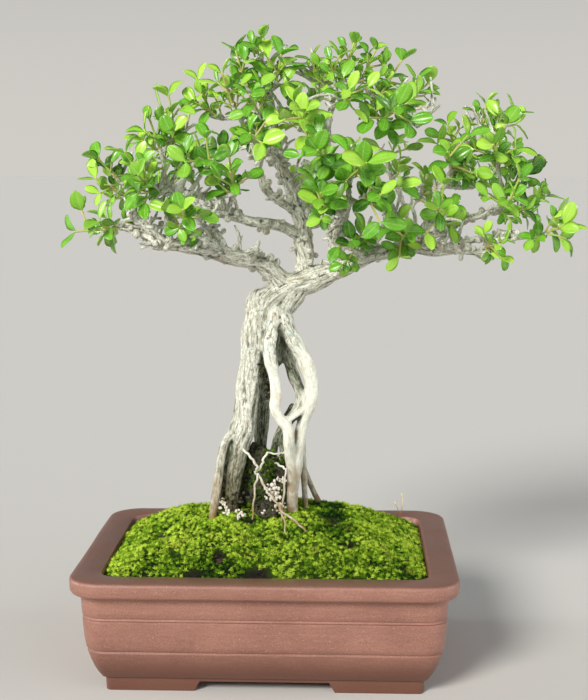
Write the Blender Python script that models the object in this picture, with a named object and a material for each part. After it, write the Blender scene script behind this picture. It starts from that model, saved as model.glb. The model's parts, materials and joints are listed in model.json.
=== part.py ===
"""Premna bonsai grown over a stone, in a rectangular unglazed pot.

Metres, +Z up, the viewer's side at -Y. The origin lies under the middle of the
whole plant's extent, on the plane that the pot's feet stand on. The lists of
limbs and shoots are in millimetres, measured from the middle of the pot.
"""

import math
import random

import bmesh
import bpy
from mathutils import Matrix, Vector, noise
from mathutils.bvhtree import BVHTree

MM = 0.001
GAP = 0.3 * MM

# The pot
FOOT_DROP = 2.3 * MM
POT_CENTRE = Vector((-37.4, 0.4, 2.3)) * MM
POT_WIDTH = 260 * MM
POT_DEPTH = 205 * MM
POT_HEIGHT = 78 * MM
POT_CORNER_RADIUS = 24 * MM
POT_CORNER_STEPS = 5
SMALLEST_CORNER = 4 * MM
MOUTH_CORNER_RADIUS = 13 * MM
FLOOR_HEIGHT = 16 * MM

# Each point is how far it lies in from the rim's edge, and its height, in mm
POT_OUTSIDE = (
    (20.6, 7.6), (18.3, 10.8), (15.6, 15.2), (13.2, 20.6), (11.0, 27.0), (11.9, 28.2), (10.3, 29.6), (9.1, 36.0),
    (8.3, 48.6), (9.2, 49.6), (8.3, 50.6), (9.1, 51.7), (8.1, 52.8),
    (7.6, 61.0), (7.0, 64.6), (5.2, 66.6), (1.6, 67.6), (0.4, 69.4), (0.1, 73.6), (0.7, 75.8), (2.2, 77.4), (4.8, 78.0),
)
POT_INSIDE = ((17.6, 78.0), (19.4, 77.2), (20.2, 74.8), (22.0, 44.0), (27.5, 16.0))
INNER_WALL_INSET = 20.2 * MM

# Its feet and drainage
FOOT_INSET = 22.4 * MM
FOOT_THICKNESS = 13 * MM
FOOT_TOP = 10.5 * MM
FOOT_GAP_HEIGHT = 4.6 * MM
FRONT_GAP_WIDTH = 94 * MM
SIDE_GAP_WIDTH = 62 * MM
GAP_END_SLOPE = 3.5 * MM
DRAIN_RADIUS = 9 * MM
DRAIN_SPACING = 116 * MM
SCREEN_SIDE = 32 * MM
SCREEN_THICKNESS = 1.2 * MM
SCREEN_HOLE = 9 * MM
SCREEN_PITCH = 12 * MM

# The soil and the moss over it
MOUND_SHOULDER = 18 * MM
MOUND_HEIGHT = 13 * MM
MOUND_WIDTH = 50 * MM
MOUND_DEPTH = 42 * MM
MOSS_EDGE_HEIGHT = 76.2 * MM
MOSS_THICKNESS = 5 * MM
MOSS_GAP = 0.95 * MM
MOSS_LUMP = 2.6 * MM
BED_POINTS = 26
MOSS_RINGS = (1.0, 0.95, 0.86, 0.72, 0.52, 0.30)
SOIL_LOWER_RINGS = ((21.6, 60.0), (22.6, 44.0), (28.6, 18.4))

# The stone under the roots
STONE_CENTRE = (-6, 4, 116)
STONE_RADII = (20, 12, 31)

# Roots and trunk: name, sides, first and last radius, points
ROOTS = (
    ("outer_left", 6, 3.4, 3.0, ((-11, 4, 254), (-17, 2, 233), (-18, 0, 212), (-21, -2, 194), (-23, -4, 176),
                                 (-27, -6, 161), (-33, -10, 149), (-37, -18, 120), (-40, -21, 100), (-41, -22, 86))),
    ("main_left", 6, 9.2, 4.4, ((-7, 2, 253), (-10, -2, 237), (-11, -4, 216), (-14, -6, 195), (-15, -8, 178),
                                (-17, -8, 163), (-21, -8, 148), (-25, -12, 128), (-27, -15, 108), (-28, -16, 88))),
    ("middle_left", 6, 5.4, 3.4, ((-6, 6, 236), (-10, 4, 204), (-13, 2, 183), (-18, 2, 161), (-23, 0, 146),
                                  (-29, -4, 129), (-33, -7, 108), (-35, -8, 88))),
    ("back_dark", 6, 6.0, 4.6, ((0, 5, 256), (-2, 11, 238), (-5, 16, 216), (-6, 19, 191), (-7, 20, 165), (-9, 19, 135),
                                (-12, 18, 86))),
    ("trunk_right", 7, 4.5, 9.8, ((4, 4, 210), (5, 3, 226), (6, 1, 240), (10, 0, 251), (17, 0, 260))),
    ("middle_light", 6, 4.8, 3.0, ((4, -3, 250), (2, -8, 234), (0, -12, 219), (3, -13, 205), (5, -15, 190), (4, -16, 180),
                                   (8, -16, 172), (13, -16, 166), (14, -16, 156), (14, -14, 146), (16, -12, 128),
                                   (15, -12, 108), (15, -12, 86))),
    ("loop", 5, 5.2, 2.7, ((12, 4, 240), (13, 5, 222), (15, 5, 206), (18, 1, 192), (21, -6, 185), (19, -12, 178),
                           (15, -16, 172))),
    ("bridge", 5, 2.4, 2.2, ((14, -16, 172), (20, -14, 176), (27, -8, 180))),
    ("right", 6, 6.6, 3.3, ((8, 0, 256), (10, -2, 241), (17, -4, 226), (25, -5, 211), (29.5, -7, 196), (28, -8, 182),
                            (23, -8, 166), (20, -8, 150), (19, -8, 136), (17, -8, 120), (16, -10, 100), (16, -10, 86))),
    ("right_fork", 5, 2.6, 2.2, ((23, -5, 162), (23, 0, 143), (24, 2, 126), (25, 4, 104), (26, 5, 86))),
    ("right_low", 5, 2.2, 1.8, ((23, 2, 136), (27, 10, 123), (31, 16, 112), (36, 20, 100), (39, 23, 86))),
    ("back_right", 5, 3.4, 2.8, ((16, -2, 178), (10, 5, 166), (4, 10, 152), (0, 18, 130), (-1, 20, 86))),
    ("back_inner", 5, 3.2, 2.8, ((19, -6, 174), (12, 3, 164), (9, 7, 150), (11, 9, 120), (12, 9, 86))),
    ("thin_a", 5, 1.5, 1.2, ((-20, -9, 148), (-14, -15, 143), (-8, -20, 138), (-5, -22, 133), (-2, -25, 124),
                             (0, -28, 108), (1, -29, 90))),
    ("thin_b", 4, 1.2, 1.1, ((-10, -18, 139), (-4, -17, 145), (3, -15, 146), (13, -14, 144))),
    ("thin_c", 4, 1.2, 1.1, ((-7, -20, 137), (-10, -22, 134), (-9, -24, 127), (-10, -28, 108), (-10, -29, 90))),
    ("thin_d", 4, 1.3, 1.2, ((14, -13, 141), (12, -19, 136), (11, -23, 128), (11, -28, 112), (11, -31, 92))),
    ("thin_e", 5, 1.4, 1.3, ((-2, -26, 121), (7, -32, 116), (14, -36, 110), (22, -39, 103), (30, -42, 92))),
)

# The limbs of the crown, in the same form
LIMBS = (
    ("hub", 7, 11.2, 8.0, ((-5, 1, 238), (-4, 1, 248), (2, 0, 257), (12, 0, 263), (25, 0, 267), (38, 0, 272))),
    ("low_left", 6, 7.2, 4.2, ((11, 0, 264), (0, -6, 276), (-9, -12, 282), (-17, -18, 284), (-35, -28, 289),
                               (-52, -36, 294), (-74, -43, 296))),
    ("low_left_a", 5, 3.4, 1.8, ((-69, -42, 296), (-76, -46, 304), (-83, -48, 311), (-91, -48, 316))),
    ("low_left_b", 5, 2.6, 1.6, ((-64, -41, 296), (-66, -45, 307), (-66, -50, 314))),
    ("low_left_c", 5, 3.2, 1.8, ((-72, -43, 296), (-84, -40, 302), (-92, -38, 305), (-99, -36, 306))),
    ("stub_a", 6, 2.8, 2.2, ((-32, -27, 289), (-37, -38, 296), (-43, -44, 299))),
    ("stub_b", 5, 2.6, 2.0, ((-28, -24, 288), (-34, -20, 301), (-39, -18, 307))),
    ("knob", 5, 4.4, 3.4, ((-14, -15, 283), (-12, -20, 287), (-9, -24, 291))),
    ("leader", 6, 7.2, 5.4, ((23, 2, 268), (24, 6, 284), (23, 6, 297), (22, 6, 309), (17, 8, 319))),
    ("leader_top", 5, 5.0, 1.7, ((18, 8, 317), (14, 10, 331), (8, 10, 348), (4, 10, 366), (2, 8, 383), (-2, 4, 400),
                                 (-5, 2, 412))),
    ("upper_left", 5, 4.6, 2.8, ((20, 5, 299), (13, 0, 304), (1, -8, 308), (-13, -16, 310), (-25, -22, 314),
                                 (-36, -28, 317), (-49, -30, 320))),
    ("upper_left_a", 5, 2.5, 1.6, ((-47, -30, 320), (-57, -32, 326), (-67, -34, 332), (-76, -34, 336))),
    ("upper_left_b", 5, 2.5, 1.5, ((-24, -21, 314), (-36, -10, 322), (-52, 0, 328), (-71, 6, 333), (-92, 8, 336))),
    ("centre_left", 5, 3.2, 1.6, ((19, 7, 315), (6, 2, 324), (-3, 0, 331), (-7, -2, 345), (-11, -4, 359), (-16, -4, 374))),
    ("upright", 5, 5.6, 1.8, ((45, -2, 275), (46, -4, 286), (45, -6, 298), (43, -10, 314), (39, -12, 328), (36, -12, 344),
                              (40, -10, 362), (41, -8, 379), (45, -6, 398))),
    ("right_main", 6, 8.2, 2.2, ((24, 0, 266), (36, -2, 271), (50, -4, 277), (66, -8, 285), (81, -12, 289), (97, -16, 292),
                                 (113, -20, 290), (133, -24, 291), (151, -28, 288))),
    ("right_upper", 5, 3.8, 1.8, ((85, -13, 290), (101, -8, 297), (119, -4, 302), (135, 0, 310), (151, 3, 315),
                                  (166, 5, 317))),
    ("right_lower", 5, 2.6, 1.6, ((118, -21, 291), (138, -27, 298), (153, -29, 299), (167, -30, 300), (184, -30, 301))),
    ("right_back", 5, 3.6, 1.6, ((100, -14, 292), (112, 6, 313), (119, 14, 331), (130, 20, 347), (142, 20, 362))),
    ("front_middle", 5, 3.0, 1.7, ((45, -6, 294), (48, -22, 308), (54, -36, 319), (56, -46, 324))),
    ("front_right", 5, 2.8, 1.5, ((96, -16, 292), (104, -28, 302), (110, -36, 310))),
    ("front_top", 5, 2.4, 1.5, ((6, 10, 352), (2, -8, 357), (-2, -22, 362), (-6, -32, 364))),
    ("back_top", 5, 3.0, 1.6, ((14, 10, 331), (8, 26, 342), (2, 42, 350), (-8, 58, 356))),
    ("back_right_limb", 5, 3.4, 1.6, ((64, -7, 284), (74, 12, 296), (84, 30, 306), (96, 48, 316), (106, 60, 323))),
    ("back_middle", 5, 3.0, 1.6, ((23, 7, 298), (20, 24, 306), (17, 40, 314), (22, 58, 321))),
    ("back_left", 5, 3.0, 1.5, ((-33, -27, 288), (-40, -6, 298), (-50, 16, 308), (-62, 36, 318), (-70, 50, 325))),
)

# Leafy shoots: name, base, tip, length of the largest leaf
SHOOTS = (
    ("far_left", (-101, -36, 306), (-129, -40, 304), 17),
    ("left_low", (-104, 5, 327), (-122, 0, 339), 14),
    ("left_tip", (-106, 0, 338), (-119, -5, 353), 16),
    ("left_middle", (-86, -30, 340), (-94, -42, 357), 15),
    ("left_gloss", (-77, -45, 332), (-82, -66, 342), 17),
    ("left_up", (-75, -10, 359), (-81, -15, 379), 15),
    ("left_crest", (-65, -10, 372), (-68, -15, 395), 17),
    ("left_back", (-64, 25, 359), (-59, 32, 385), 15),
    ("left_front", (-45, -35, 352), (-33, -64, 352), 15),
    ("left_rosette", (-54, -50, 310), (-52, -74, 320), 16),
    ("inner_left", (-21, -40, 331), (-22, -66, 344), 15),
    ("saddle_left", (-41, -5, 385), (-48, -10, 406), 14),
    ("crest_left", (-24, -20, 389), (-30, -30, 409), 14),
    ("crest_middle", (-17, 0, 403), (-23, 0, 426), 14),
    ("apex", (-5, 1, 418), (-4, 0, 435), 15),
    ("apex_right", (5, -10, 404), (9, -18, 422), 19),
    ("apex_front", (-6, -30, 384), (-10, -54, 394), 14),
    ("face_left", (-8, -37, 364), (-9, -66, 369), 15),
    ("centre_dark", (22, -30, 373), (26, -62, 382), 18),
    ("top_small_left", (35, -5, 405), (29, -10, 419), 12),
    ("top_small_right", (45, -15, 406), (42, -26, 418), 12),
    ("top_middle", (53, -4, 414), (58, -4, 431), 12),
    ("top_right_near", (64, 2, 408), (73, 4, 427), 12),
    ("gloss_pair", (52, -20, 389), (55, -54, 397), 15),
    ("top_right_high", (77, 4, 397), (91, 8, 420), 16),
    ("long_leaves", (76, -15, 377), (87, -46, 387), 19),
    ("top_right_side", (94, 14, 390), (110, 20, 405), 16),
    ("centre_up", (42, -45, 349), (35, -78, 358), 15),
    ("middle_rosette", (37, -55, 321), (37, -86, 331), 17),
    ("big_front", (57, -50, 341), (66, -86, 350), 20),
    ("big_low", (66, -50, 324), (75, -86, 330), 19),
    ("under_middle", (57, -34, 293), (57, -60, 300), 16),
    ("under_right", (89, -25, 297), (93, -54, 304), 15),
    ("right_front", (117, -24, 312), (113, -64, 321), 16),
    ("right_inner", (125, -10, 346), (120, -46, 357), 16),
    ("right_saddle", (129, 8, 359), (123, 4, 376), 13),
    ("right_crest", (148, 20, 369), (151, 22, 391), 15),
    ("right_shoulder", (157, 8, 369), (169, 10, 384), 16),
    ("right_face", (157, -5, 350), (150, -42, 362), 17),
    ("right_side", (165, 5, 333), (182, 5, 345), 17),
    ("right_low_front", (157, -22, 320), (163, -54, 328), 15),
    ("right_tip_up", (176, 6, 318), (192, 12, 327), 15),
    ("far_right", (187, -31, 303), (199, -36, 309), 17),
    ("under_far_right", (147, -32, 294), (154, -56, 297), 12),
    ("back_left_low", (-74, 52, 328), (-84, 72, 338), 15),
    ("back_left_high", (-52, 46, 345), (-58, 66, 361), 15),
    ("back_crest", (-10, 61, 360), (-13, 84, 371), 15),
    ("back_low", (24, 61, 325), (27, 88, 333), 15),
    ("back_high", (32, 34, 390), (35, 54, 405), 15),
    ("back_right_low", (109, 63, 327), (117, 86, 337), 15),
    ("back_right_high", (84, 48, 352), (90, 72, 364), 16),
    ("back_right_side", (146, 38, 334), (160, 58, 345), 15),
)

# Bare twigs past the leaves: foot and tip
BARE_TWIGS = (
    ((113, 8, 391), (111, 6, 408)), ((104, 0, 377), (117, -4, 389)), ((41, -12, 358), (22, -14, 383)),
    ((9, -8, 387), (0, -10, 401)), ((24, -4, 409), (8, -6, 416)), ((153, -4, 371), (148, -6, 385)),
    ((-59, -30, 306), (-66, -34, 318)), ((130, -18, 300), (134, -24, 318)), ((88, -6, 318), (92, -12, 336)),
)

# How twigs and leaves grow, and how many of the triangles of a grown piece are kept
WOOD_SHARE = 0.45
WOOD_STRAY = 0.8 * MM
BED_SHARE = 0.55
BED_STRAY = 0.35 * MM
POT_SHARE = 0.45
POT_STRAY = 0.02 * MM
THINNEST_TRIANGLE = 0.03 * MM
SHARPEST_TURN = 0.3
SEED = 7
TWIG_STEP = 13 * MM
TWIG_BASE_RADIUS = 1.9 * MM
TWIG_END_RADIUS = 1.15 * MM
STEM_RADIUS = 0.95 * MM
STUB_LENGTHS = (3.0 * MM, 5.5 * MM)
SIDE_RADIUS = 0.85 * MM
SHORTEST_SIDE = 11 * MM
LONG_SHOOT = 27 * MM
MAIN_LEAF_SPACING = 12 * MM
SIDE_LEAF_SPACING = 24 * MM
LEAF_THICKNESS = 1.2 * MM
LEAF_TRIES = 26
STEM_TRIES = 40
SIDE_TRIES = 12
# Half the height of a leaf's foot on its stem, where a leaf is free of the stem, and its clear space
NODE_HALF = 0.65 * MM
LEAF_FREE = 1.8 * MM
LEAF_SPARE = 0.55 * MM
CROWN_MIDDLE = (30, 0, 320)
# The light comes from above and from the viewer's side, and each face strays from it a little
LIGHT_PULL = Vector((0, -0.4, 0.5))
LEAF_SWAY = 0.4
# Along the leaf, and half its width there, as shares of its length and half width
BLADE_OUTLINE = ((0.38, 0.86), (0.78, 0.94))
BLADE_WIDTH_SHARE = 0.66
BLADE_THICKEST = 0.40


def clear_scene():
    for obj in list(bpy.data.objects):
        bpy.data.objects.remove(obj)


def from_pot(x, y, z):
    """A point given in millimetres from the middle of the pot's foot."""
    return POT_CENTRE + Vector((x, y, z)) * MM


def new_object(name, verts, faces):
    mesh = bpy.data.meshes.new(name)
    mesh.from_pydata([tuple(vert) for vert in verts], [], faces)
    mesh.update()
    return bpy.data.objects.new(name, mesh)


def material(name, colour, roughness):
    made = bpy.data.materials.new(name)
    made.use_nodes = True
    shader = made.node_tree.nodes["Principled BSDF"]
    shader.inputs["Base Color"].default_value = (*colour, 1.0)
    shader.inputs["Roughness"].default_value = roughness
    shader.inputs["Metallic"].default_value = 0.0
    made.diffuse_color = (*colour, 1.0)
    return made


def finish(obj, surface, crease=40):
    """Show the object as one named sub-part, shaded smooth up to the crease angle."""
    bpy.context.scene.collection.objects.link(obj)
    obj.data.materials.clear()
    obj.data.materials.append(surface)
    obj.data.shade_smooth()
    obj.data.set_sharp_from_angle(angle=math.radians(crease))
    return obj


def in_triangles(obj):
    """The object with its faces split into triangles, so that none of them is bent."""
    mesh = bmesh.new()
    mesh.from_mesh(obj.data)
    bmesh.ops.triangulate(mesh, faces=mesh.faces[:])
    mesh.to_mesh(obj.data)
    mesh.free()
    return obj


def combine(host, others, operation, solver="MANIFOLD"):
    """Add the others to the host, or cut them from it, and remove them."""
    group = bpy.data.collections.new("operands")
    in_triangles(host)
    for other in others:
        group.objects.link(in_triangles(other))
    in_scene = host.name in bpy.context.scene.collection.objects
    if not in_scene:
        bpy.context.scene.collection.objects.link(host)
    boolean = host.modifiers.new("Combine", "BOOLEAN")
    boolean.operation = operation
    boolean.operand_type = "COLLECTION"
    boolean.collection = group
    boolean.solver = solver
    graph = bpy.context.evaluated_depsgraph_get()
    mesh = bpy.data.meshes.new_from_object(host.evaluated_get(graph))
    host.modifiers.remove(boolean)
    host.data = mesh
    if not in_scene:
        bpy.context.scene.collection.objects.unlink(host)
    for other in list(group.objects):
        bpy.data.objects.remove(other)
    bpy.data.collections.remove(group)
    return host


def islands(mesh):
    """The mesh's separate shells, each as a set of vertex numbers."""
    parent = list(range(len(mesh.vertices)))

    def root(index):
        while parent[index] != index:
            parent[index] = parent[parent[index]]
            index = parent[index]
        return index

    for edge in mesh.edges:
        first, second = edge.vertices
        parent[root(first)] = root(second)
    groups = {}
    for index in range(len(parent)):
        groups.setdefault(root(index), set()).add(index)
    return list(groups.values())


def keep_largest(obj):
    """Drop the loose scraps and the sealed hollows that combining left."""
    groups = sorted(islands(obj.data), key=len, reverse=True)
    kept = sorted(groups[0])
    numbers = {old: new for new, old in enumerate(kept)}
    verts = [obj.data.vertices[old].co.copy() for old in kept]
    faces = [
        [numbers[old] for old in polygon.vertices]
        for polygon in obj.data.polygons
        if polygon.vertices[0] in numbers
    ]
    name = obj.data.name
    mesh = bpy.data.meshes.new(name)
    mesh.from_pydata(verts, [], faces)
    mesh.update()
    obj.data = mesh
    return obj


def triangles_of(mesh):
    mesh.calc_loop_triangles()
    return [tuple(triangle.vertices) for triangle in mesh.loop_triangles]


def collapse_cost(points, faces, around, gone, kept):
    """How far the surface strays when one corner moves onto its neighbour, or None where that would fold it."""
    worst = 0.0
    for number in around[gone]:
        corners = faces[number]
        if kept in corners:
            continue
        old = [points[corner] for corner in corners]
        new = [points[kept] if corner == gone else points[corner] for corner in corners]
        before = (old[1] - old[0]).cross(old[2] - old[0])
        after = (new[1] - new[0]).cross(new[2] - new[0])
        if before.length == 0 or after.length == 0:
            return None
        longest = max((new[1] - new[0]).length, (new[2] - new[1]).length, (new[0] - new[2]).length)
        if after.length / longest < THINNEST_TRIANGLE or before.normalized().dot(after.normalized()) < SHARPEST_TURN:
            return None
        worst = max(worst, abs((points[kept] - old[0]).dot(before.normalized())))
    return worst


def thin_out(obj, share, most_stray):
    """Collapse edges, the flattest first, to about this share of the triangles. The surface stays closed."""
    points = [vert.co.copy() for vert in obj.data.vertices]
    faces = dict(enumerate(triangles_of(obj.data)))
    around = {index: set() for index in range(len(points))}
    for number, corners in faces.items():
        for corner in corners:
            around[corner].add(number)
    wanted = share * len(faces)
    while len(faces) > wanted:
        costs = []
        for corners in faces.values():
            for gone, kept in zip(corners, (corners[1], corners[2], corners[0])):
                for pair in ((gone, kept), (kept, gone)):
                    cost = collapse_cost(points, faces, around, *pair)
                    if cost is not None and cost < most_stray:
                        costs.append((cost, (points[gone] - points[kept]).length, *pair))
        costs.sort()
        touched = set()
        before = len(faces)
        for _, _, gone, kept in costs:
            first = {corner for number in around[gone] for corner in faces[number]}
            second = {corner for number in around[kept] for corner in faces[number]}
            if touched & (first | second) or len(first & second) != 4 or len(faces) <= wanted:
                continue
            for number in list(around[gone]):
                corners = faces[number]
                if kept in corners:
                    for corner in corners:
                        around[corner].discard(number)
                    del faces[number]
                else:
                    faces[number] = tuple(kept if corner == gone else corner for corner in corners)
                    around[kept].add(number)
            around[gone] = set()
            touched |= first | second
        if len(faces) == before:
            break
    used = sorted({corner for corners in faces.values() for corner in corners})
    numbers = {old: new for new, old in enumerate(used)}
    mesh = bpy.data.meshes.new(obj.data.name)
    mesh.from_pydata([points[old] for old in used], [], [[numbers[old] for old in corners] for corners in faces.values()])
    mesh.update()
    obj.data = mesh
    return obj


def tube_mesh(points, radii, sides, knots=0.0, draw=None):
    """Vertices and faces of a closed tube. The knots are how much each radius strays."""
    verts = []
    last = len(points) - 1
    side = (points[1] - points[0]).orthogonal()
    for index, point in enumerate(points):
        ahead = (points[min(index + 1, last)] - points[max(index - 1, 0)]).normalized()
        side = (side - ahead * side.dot(ahead)).normalized()
        up = ahead.cross(side)
        for step in range(sides):
            angle = math.tau * step / sides
            stray = 1 + knots * draw.uniform(-1, 1) if draw else 1
            spoke = side * math.cos(angle) + up * math.sin(angle)
            verts.append(point + spoke * radii[index] * stray)
    faces = [tuple(reversed(range(sides)))]
    for index in range(last):
        low = index * sides
        high = low + sides
        for step in range(sides):
            after = (step + 1) % sides
            faces.append((low + step, low + after, high + after, high + step))
    faces.append(tuple(range(last * sides, (last + 1) * sides)))
    return verts, faces


def even_radii(first, last, count):
    return [(first + (last - first) * index / (count - 1)) * MM for index in range(count)]


def limb_mesh(limb, extra=0.0):
    """A root or limb of the lists. The extra widens it all round, for a clear hole."""
    name, sides, first, last, points = limb
    places = [from_pot(*point) for point in points]
    radii = [radius + extra for radius in even_radii(first, last, len(points))]
    knots = 0.13 if extra == 0 else 0.0
    if extra:
        places[-1] = places[-1] + (places[-1] - places[-2]).normalized() * extra
        radii = [radius * 1.13 for radius in radii]
    return tube_mesh(places, radii, sides, knots, random.Random(f"{SEED} {name}"))


# The pot
def rounded_rectangle(inset, height, smallest=SMALLEST_CORNER):
    """Points of the pot's plan at one height, with the corner arcs shrinking as it goes in, down to the smallest."""
    half_width = POT_WIDTH / 2 - inset
    half_depth = POT_DEPTH / 2 - inset
    radius = max(POT_CORNER_RADIUS - inset, smallest)
    points = []
    for quarter, (sign_x, sign_y) in enumerate(((1, 1), (-1, 1), (-1, -1), (1, -1))):
        centre = Vector((sign_x * (half_width - radius), sign_y * (half_depth - radius), height))
        for step in range(POT_CORNER_STEPS + 1):
            angle = math.pi / 2 * (quarter + step / POT_CORNER_STEPS)
            spoke = Vector((math.cos(angle), math.sin(angle), 0))
            points.append(POT_CENTRE + centre + spoke * radius)
    return points


def lofted(name, rings, pointed=False):
    """A solid through the rings, each anticlockwise from above, in triangles whose diagonals follow the ridges.

    Its ends are flat, and a pointed one closes to the middle of its last ring.
    """
    count = len(rings[0])
    verts = [point for ring in rings for point in ring]
    faces = [tuple(reversed(range(count)))]
    for level in range(len(rings) - 1):
        low = level * count
        high = low + count
        for step in range(count):
            after = (step + 1) % count
            corners = (low + step, low + after, high + after, high + step)
            if verts[corners[0]].z + verts[corners[2]].z < verts[corners[1]].z + verts[corners[3]].z:
                corners = corners[1:] + corners[:1]
            faces.append((corners[0], corners[1], corners[2]))
            faces.append((corners[0], corners[2], corners[3]))
    last = range(len(verts) - count, len(verts))
    if pointed:
        verts.append(sum(rings[-1], Vector()) / count)
        faces += [(index, last[(step + 1) % count], len(verts) - 1) for step, index in enumerate(last)]
    else:
        faces.append(tuple(last))
    return new_object(name, verts, faces)


def trapezoid_bar(name, along_x, width):
    """A bar under the pot that opens the foot rim, narrower at its top."""
    half = width / 2
    reach = POT_WIDTH
    section = (
        (-half - 0.4 * GAP_END_SLOPE, -FOOT_DROP - 2 * MM),
        (half + 0.4 * GAP_END_SLOPE, -FOOT_DROP - 2 * MM),
        (half - GAP_END_SLOPE, FOOT_GAP_HEIGHT),
        (-half + GAP_END_SLOPE, FOOT_GAP_HEIGHT),
    )
    verts = []
    for end in (-reach, reach):
        for across, height in section:
            corner = Vector((end, across, height)) if along_x else Vector((across, -end, height))
            verts.append(POT_CENTRE + corner)
    faces = [(3, 2, 1, 0), (4, 5, 6, 7)]
    for step in range(4):
        after = (step + 1) % 4
        faces.append((step, after, after + 4, step + 4))
    return new_object(name, verts, faces)


def cylinder(name, centre, radius, low, high, sides=14):
    start = Vector((centre.x, centre.y, low))
    end = Vector((centre.x, centre.y, high))
    return new_object(name, *tube_mesh([start, end], [radius, radius], sides))


def foot_rim():
    outer = [rounded_rectangle(FOOT_INSET + 0.6 * MM, -FOOT_DROP), rounded_rectangle(FOOT_INSET, FOOT_TOP)]
    inner_inset = FOOT_INSET + FOOT_THICKNESS
    rim = lofted("foot_rim", outer)
    core = lofted("foot_core", [rounded_rectangle(inner_inset, height) for height in (-2 * FOOT_DROP, 1.2 * FOOT_TOP)])
    bars = [trapezoid_bar("front_gap", False, FRONT_GAP_WIDTH), trapezoid_bar("side_gap", True, SIDE_GAP_WIDTH)]
    return combine(rim, [core, *bars], "DIFFERENCE", "EXACT")


def drain_centres():
    return [POT_CENTRE + Vector((side * DRAIN_SPACING / 2, 0, 0)) for side in (-1, 1)]


def build_pot():
    rings = [rounded_rectangle(inset * MM, height * MM) for inset, height in POT_OUTSIDE]
    rings += [rounded_rectangle(inset * MM, height * MM, MOUTH_CORNER_RADIUS) for inset, height in POT_INSIDE]
    pot = lofted("pot", rings)
    # The loft's last ring is the floor inside, so its cap already faces up.
    combine(pot, [foot_rim()], "UNION", "EXACT")
    drains = [cylinder("drain", centre, DRAIN_RADIUS, 0, 2 * FLOOR_HEIGHT) for centre in drain_centres()]
    return thin_out(combine(pot, drains, "DIFFERENCE", "EXACT"), POT_SHARE, POT_STRAY)


def build_screen(name, centre):
    """A square of plastic mesh over a drainage hole."""
    low = FLOOR_HEIGHT + GAP
    high = low + SCREEN_THICKNESS

    def block(label, side, bottom, top, shift=(0, 0)):
        half = side / 2
        corners = ((-half, -half), (half, -half), (half, half), (-half, half))
        middle = centre + Vector((*shift, 0))
        rings = [[middle + Vector((x, y, height)) for x, y in corners] for height in (bottom, top)]
        return lofted(label, rings)

    screen = block(name, SCREEN_SIDE, low, high)
    holes = [
        block("mesh_hole", SCREEN_HOLE, low - MM, high + MM, (column * SCREEN_PITCH, row * SCREEN_PITCH))
        for column in (-0.5, 0.5)
        for row in (-0.5, 0.5)
    ]
    return thin_out(combine(screen, holes, "DIFFERENCE", "EXACT"), POT_SHARE, POT_STRAY)


# Soil, moss and stone
def mound_height(point, share):
    """How high the moss stands at this point. The share is 1 at the pot's wall."""
    local = point - POT_CENTRE
    bell = math.exp(-0.5 * ((local.x / MOUND_WIDTH) ** 2 + (local.y / MOUND_DEPTH) ** 2))
    lumps = noise.noise(Vector((local.x, local.y, 0.02)) * 38) + 0.5 * noise.noise(Vector((local.x, local.y, 0.9)) * 90)
    rise = MOUND_SHOULDER + MOUND_HEIGHT * bell + MOSS_LUMP * (0.7 + lumps)
    return MOSS_EDGE_HEIGHT + (1 - share**4) * rise


def evenly_spaced(outline, count):
    """The closed outline again, in this many points with equal steps between them."""
    lengths = [(outline[(index + 1) % len(outline)] - point).length for index, point in enumerate(outline)]
    step = sum(lengths) / count
    points = []
    index, walked = 0, 0.0
    for number in range(count):
        while walked + lengths[index] < number * step:
            walked += lengths[index]
            index += 1
        share = (number * step - walked) / lengths[index]
        points.append(outline[index].lerp(outline[(index + 1) % len(outline)], share))
    return points


def bed_rings(lift):
    """Rings over the pot's mouth from the wall to the middle, each point at the moss's height."""
    outline = rounded_rectangle(INNER_WALL_INSET + GAP + 0.35 * MM, 0, MOUTH_CORNER_RADIUS)
    outline = evenly_spaced(outline, BED_POINTS)
    rings = []
    for share in MOSS_RINGS:
        ring = []
        for point in outline:
            place = POT_CENTRE + (point - POT_CENTRE) * share
            place.z = POT_CENTRE.z + mound_height(place, share) + lift
            ring.append(place)
        rings.append(ring)
    return rings


def build_soil():
    lower = [
        evenly_spaced(rounded_rectangle(inset * MM, height * MM, MOUTH_CORNER_RADIUS), BED_POINTS)
        for inset, height in reversed(SOIL_LOWER_RINGS)
    ]
    soil = lofted("soil", lower + bed_rings(-MOSS_THICKNESS - MOSS_GAP), pointed=True)
    return thin_out(keep_largest(combine(soil, root_cutters("soil"), "DIFFERENCE")), BED_SHARE, BED_STRAY)


def build_moss():
    """The moss sheet: its underside runs from the middle out, its top from the wall in."""
    top = bed_rings(0)
    bottom = bed_rings(-MOSS_THICKNESS)
    solid = lofted("moss", bottom[::-1] + top, pointed=True)
    return thin_out(keep_largest(combine(solid, root_cutters("moss"), "DIFFERENCE")), BED_SHARE, BED_STRAY)


def stone_mesh(extra=0.0):
    """A rough stone: a sphere of rings, stretched and dented. The extra widens it all round."""
    rings, sides = 8, 10
    centre = from_pot(*STONE_CENTRE)
    verts, faces = [], []
    for ring in range(1, rings):
        polar = math.pi * ring / rings
        for step in range(sides):
            angle = math.tau * step / sides
            ray = Vector((math.sin(polar) * math.cos(angle), math.sin(polar) * math.sin(angle), -math.cos(polar)))
            rough = 1 + 0.22 * noise.noise(ray * 1.7 + Vector((3, 1, 4)))
            reach = Vector([ray[axis] * (STONE_RADII[axis] * rough * MM + extra) for axis in range(3)])
            verts.append(centre + reach)
    for ring in range(rings - 2):
        low = ring * sides
        high = low + sides
        for step in range(sides):
            after = (step + 1) % sides
            faces.append((low + step, low + after, high + after, high + step))
    faces.append(tuple(reversed(range(sides))))
    faces.append(tuple(range(len(verts) - sides, len(verts))))
    return verts, faces


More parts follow.
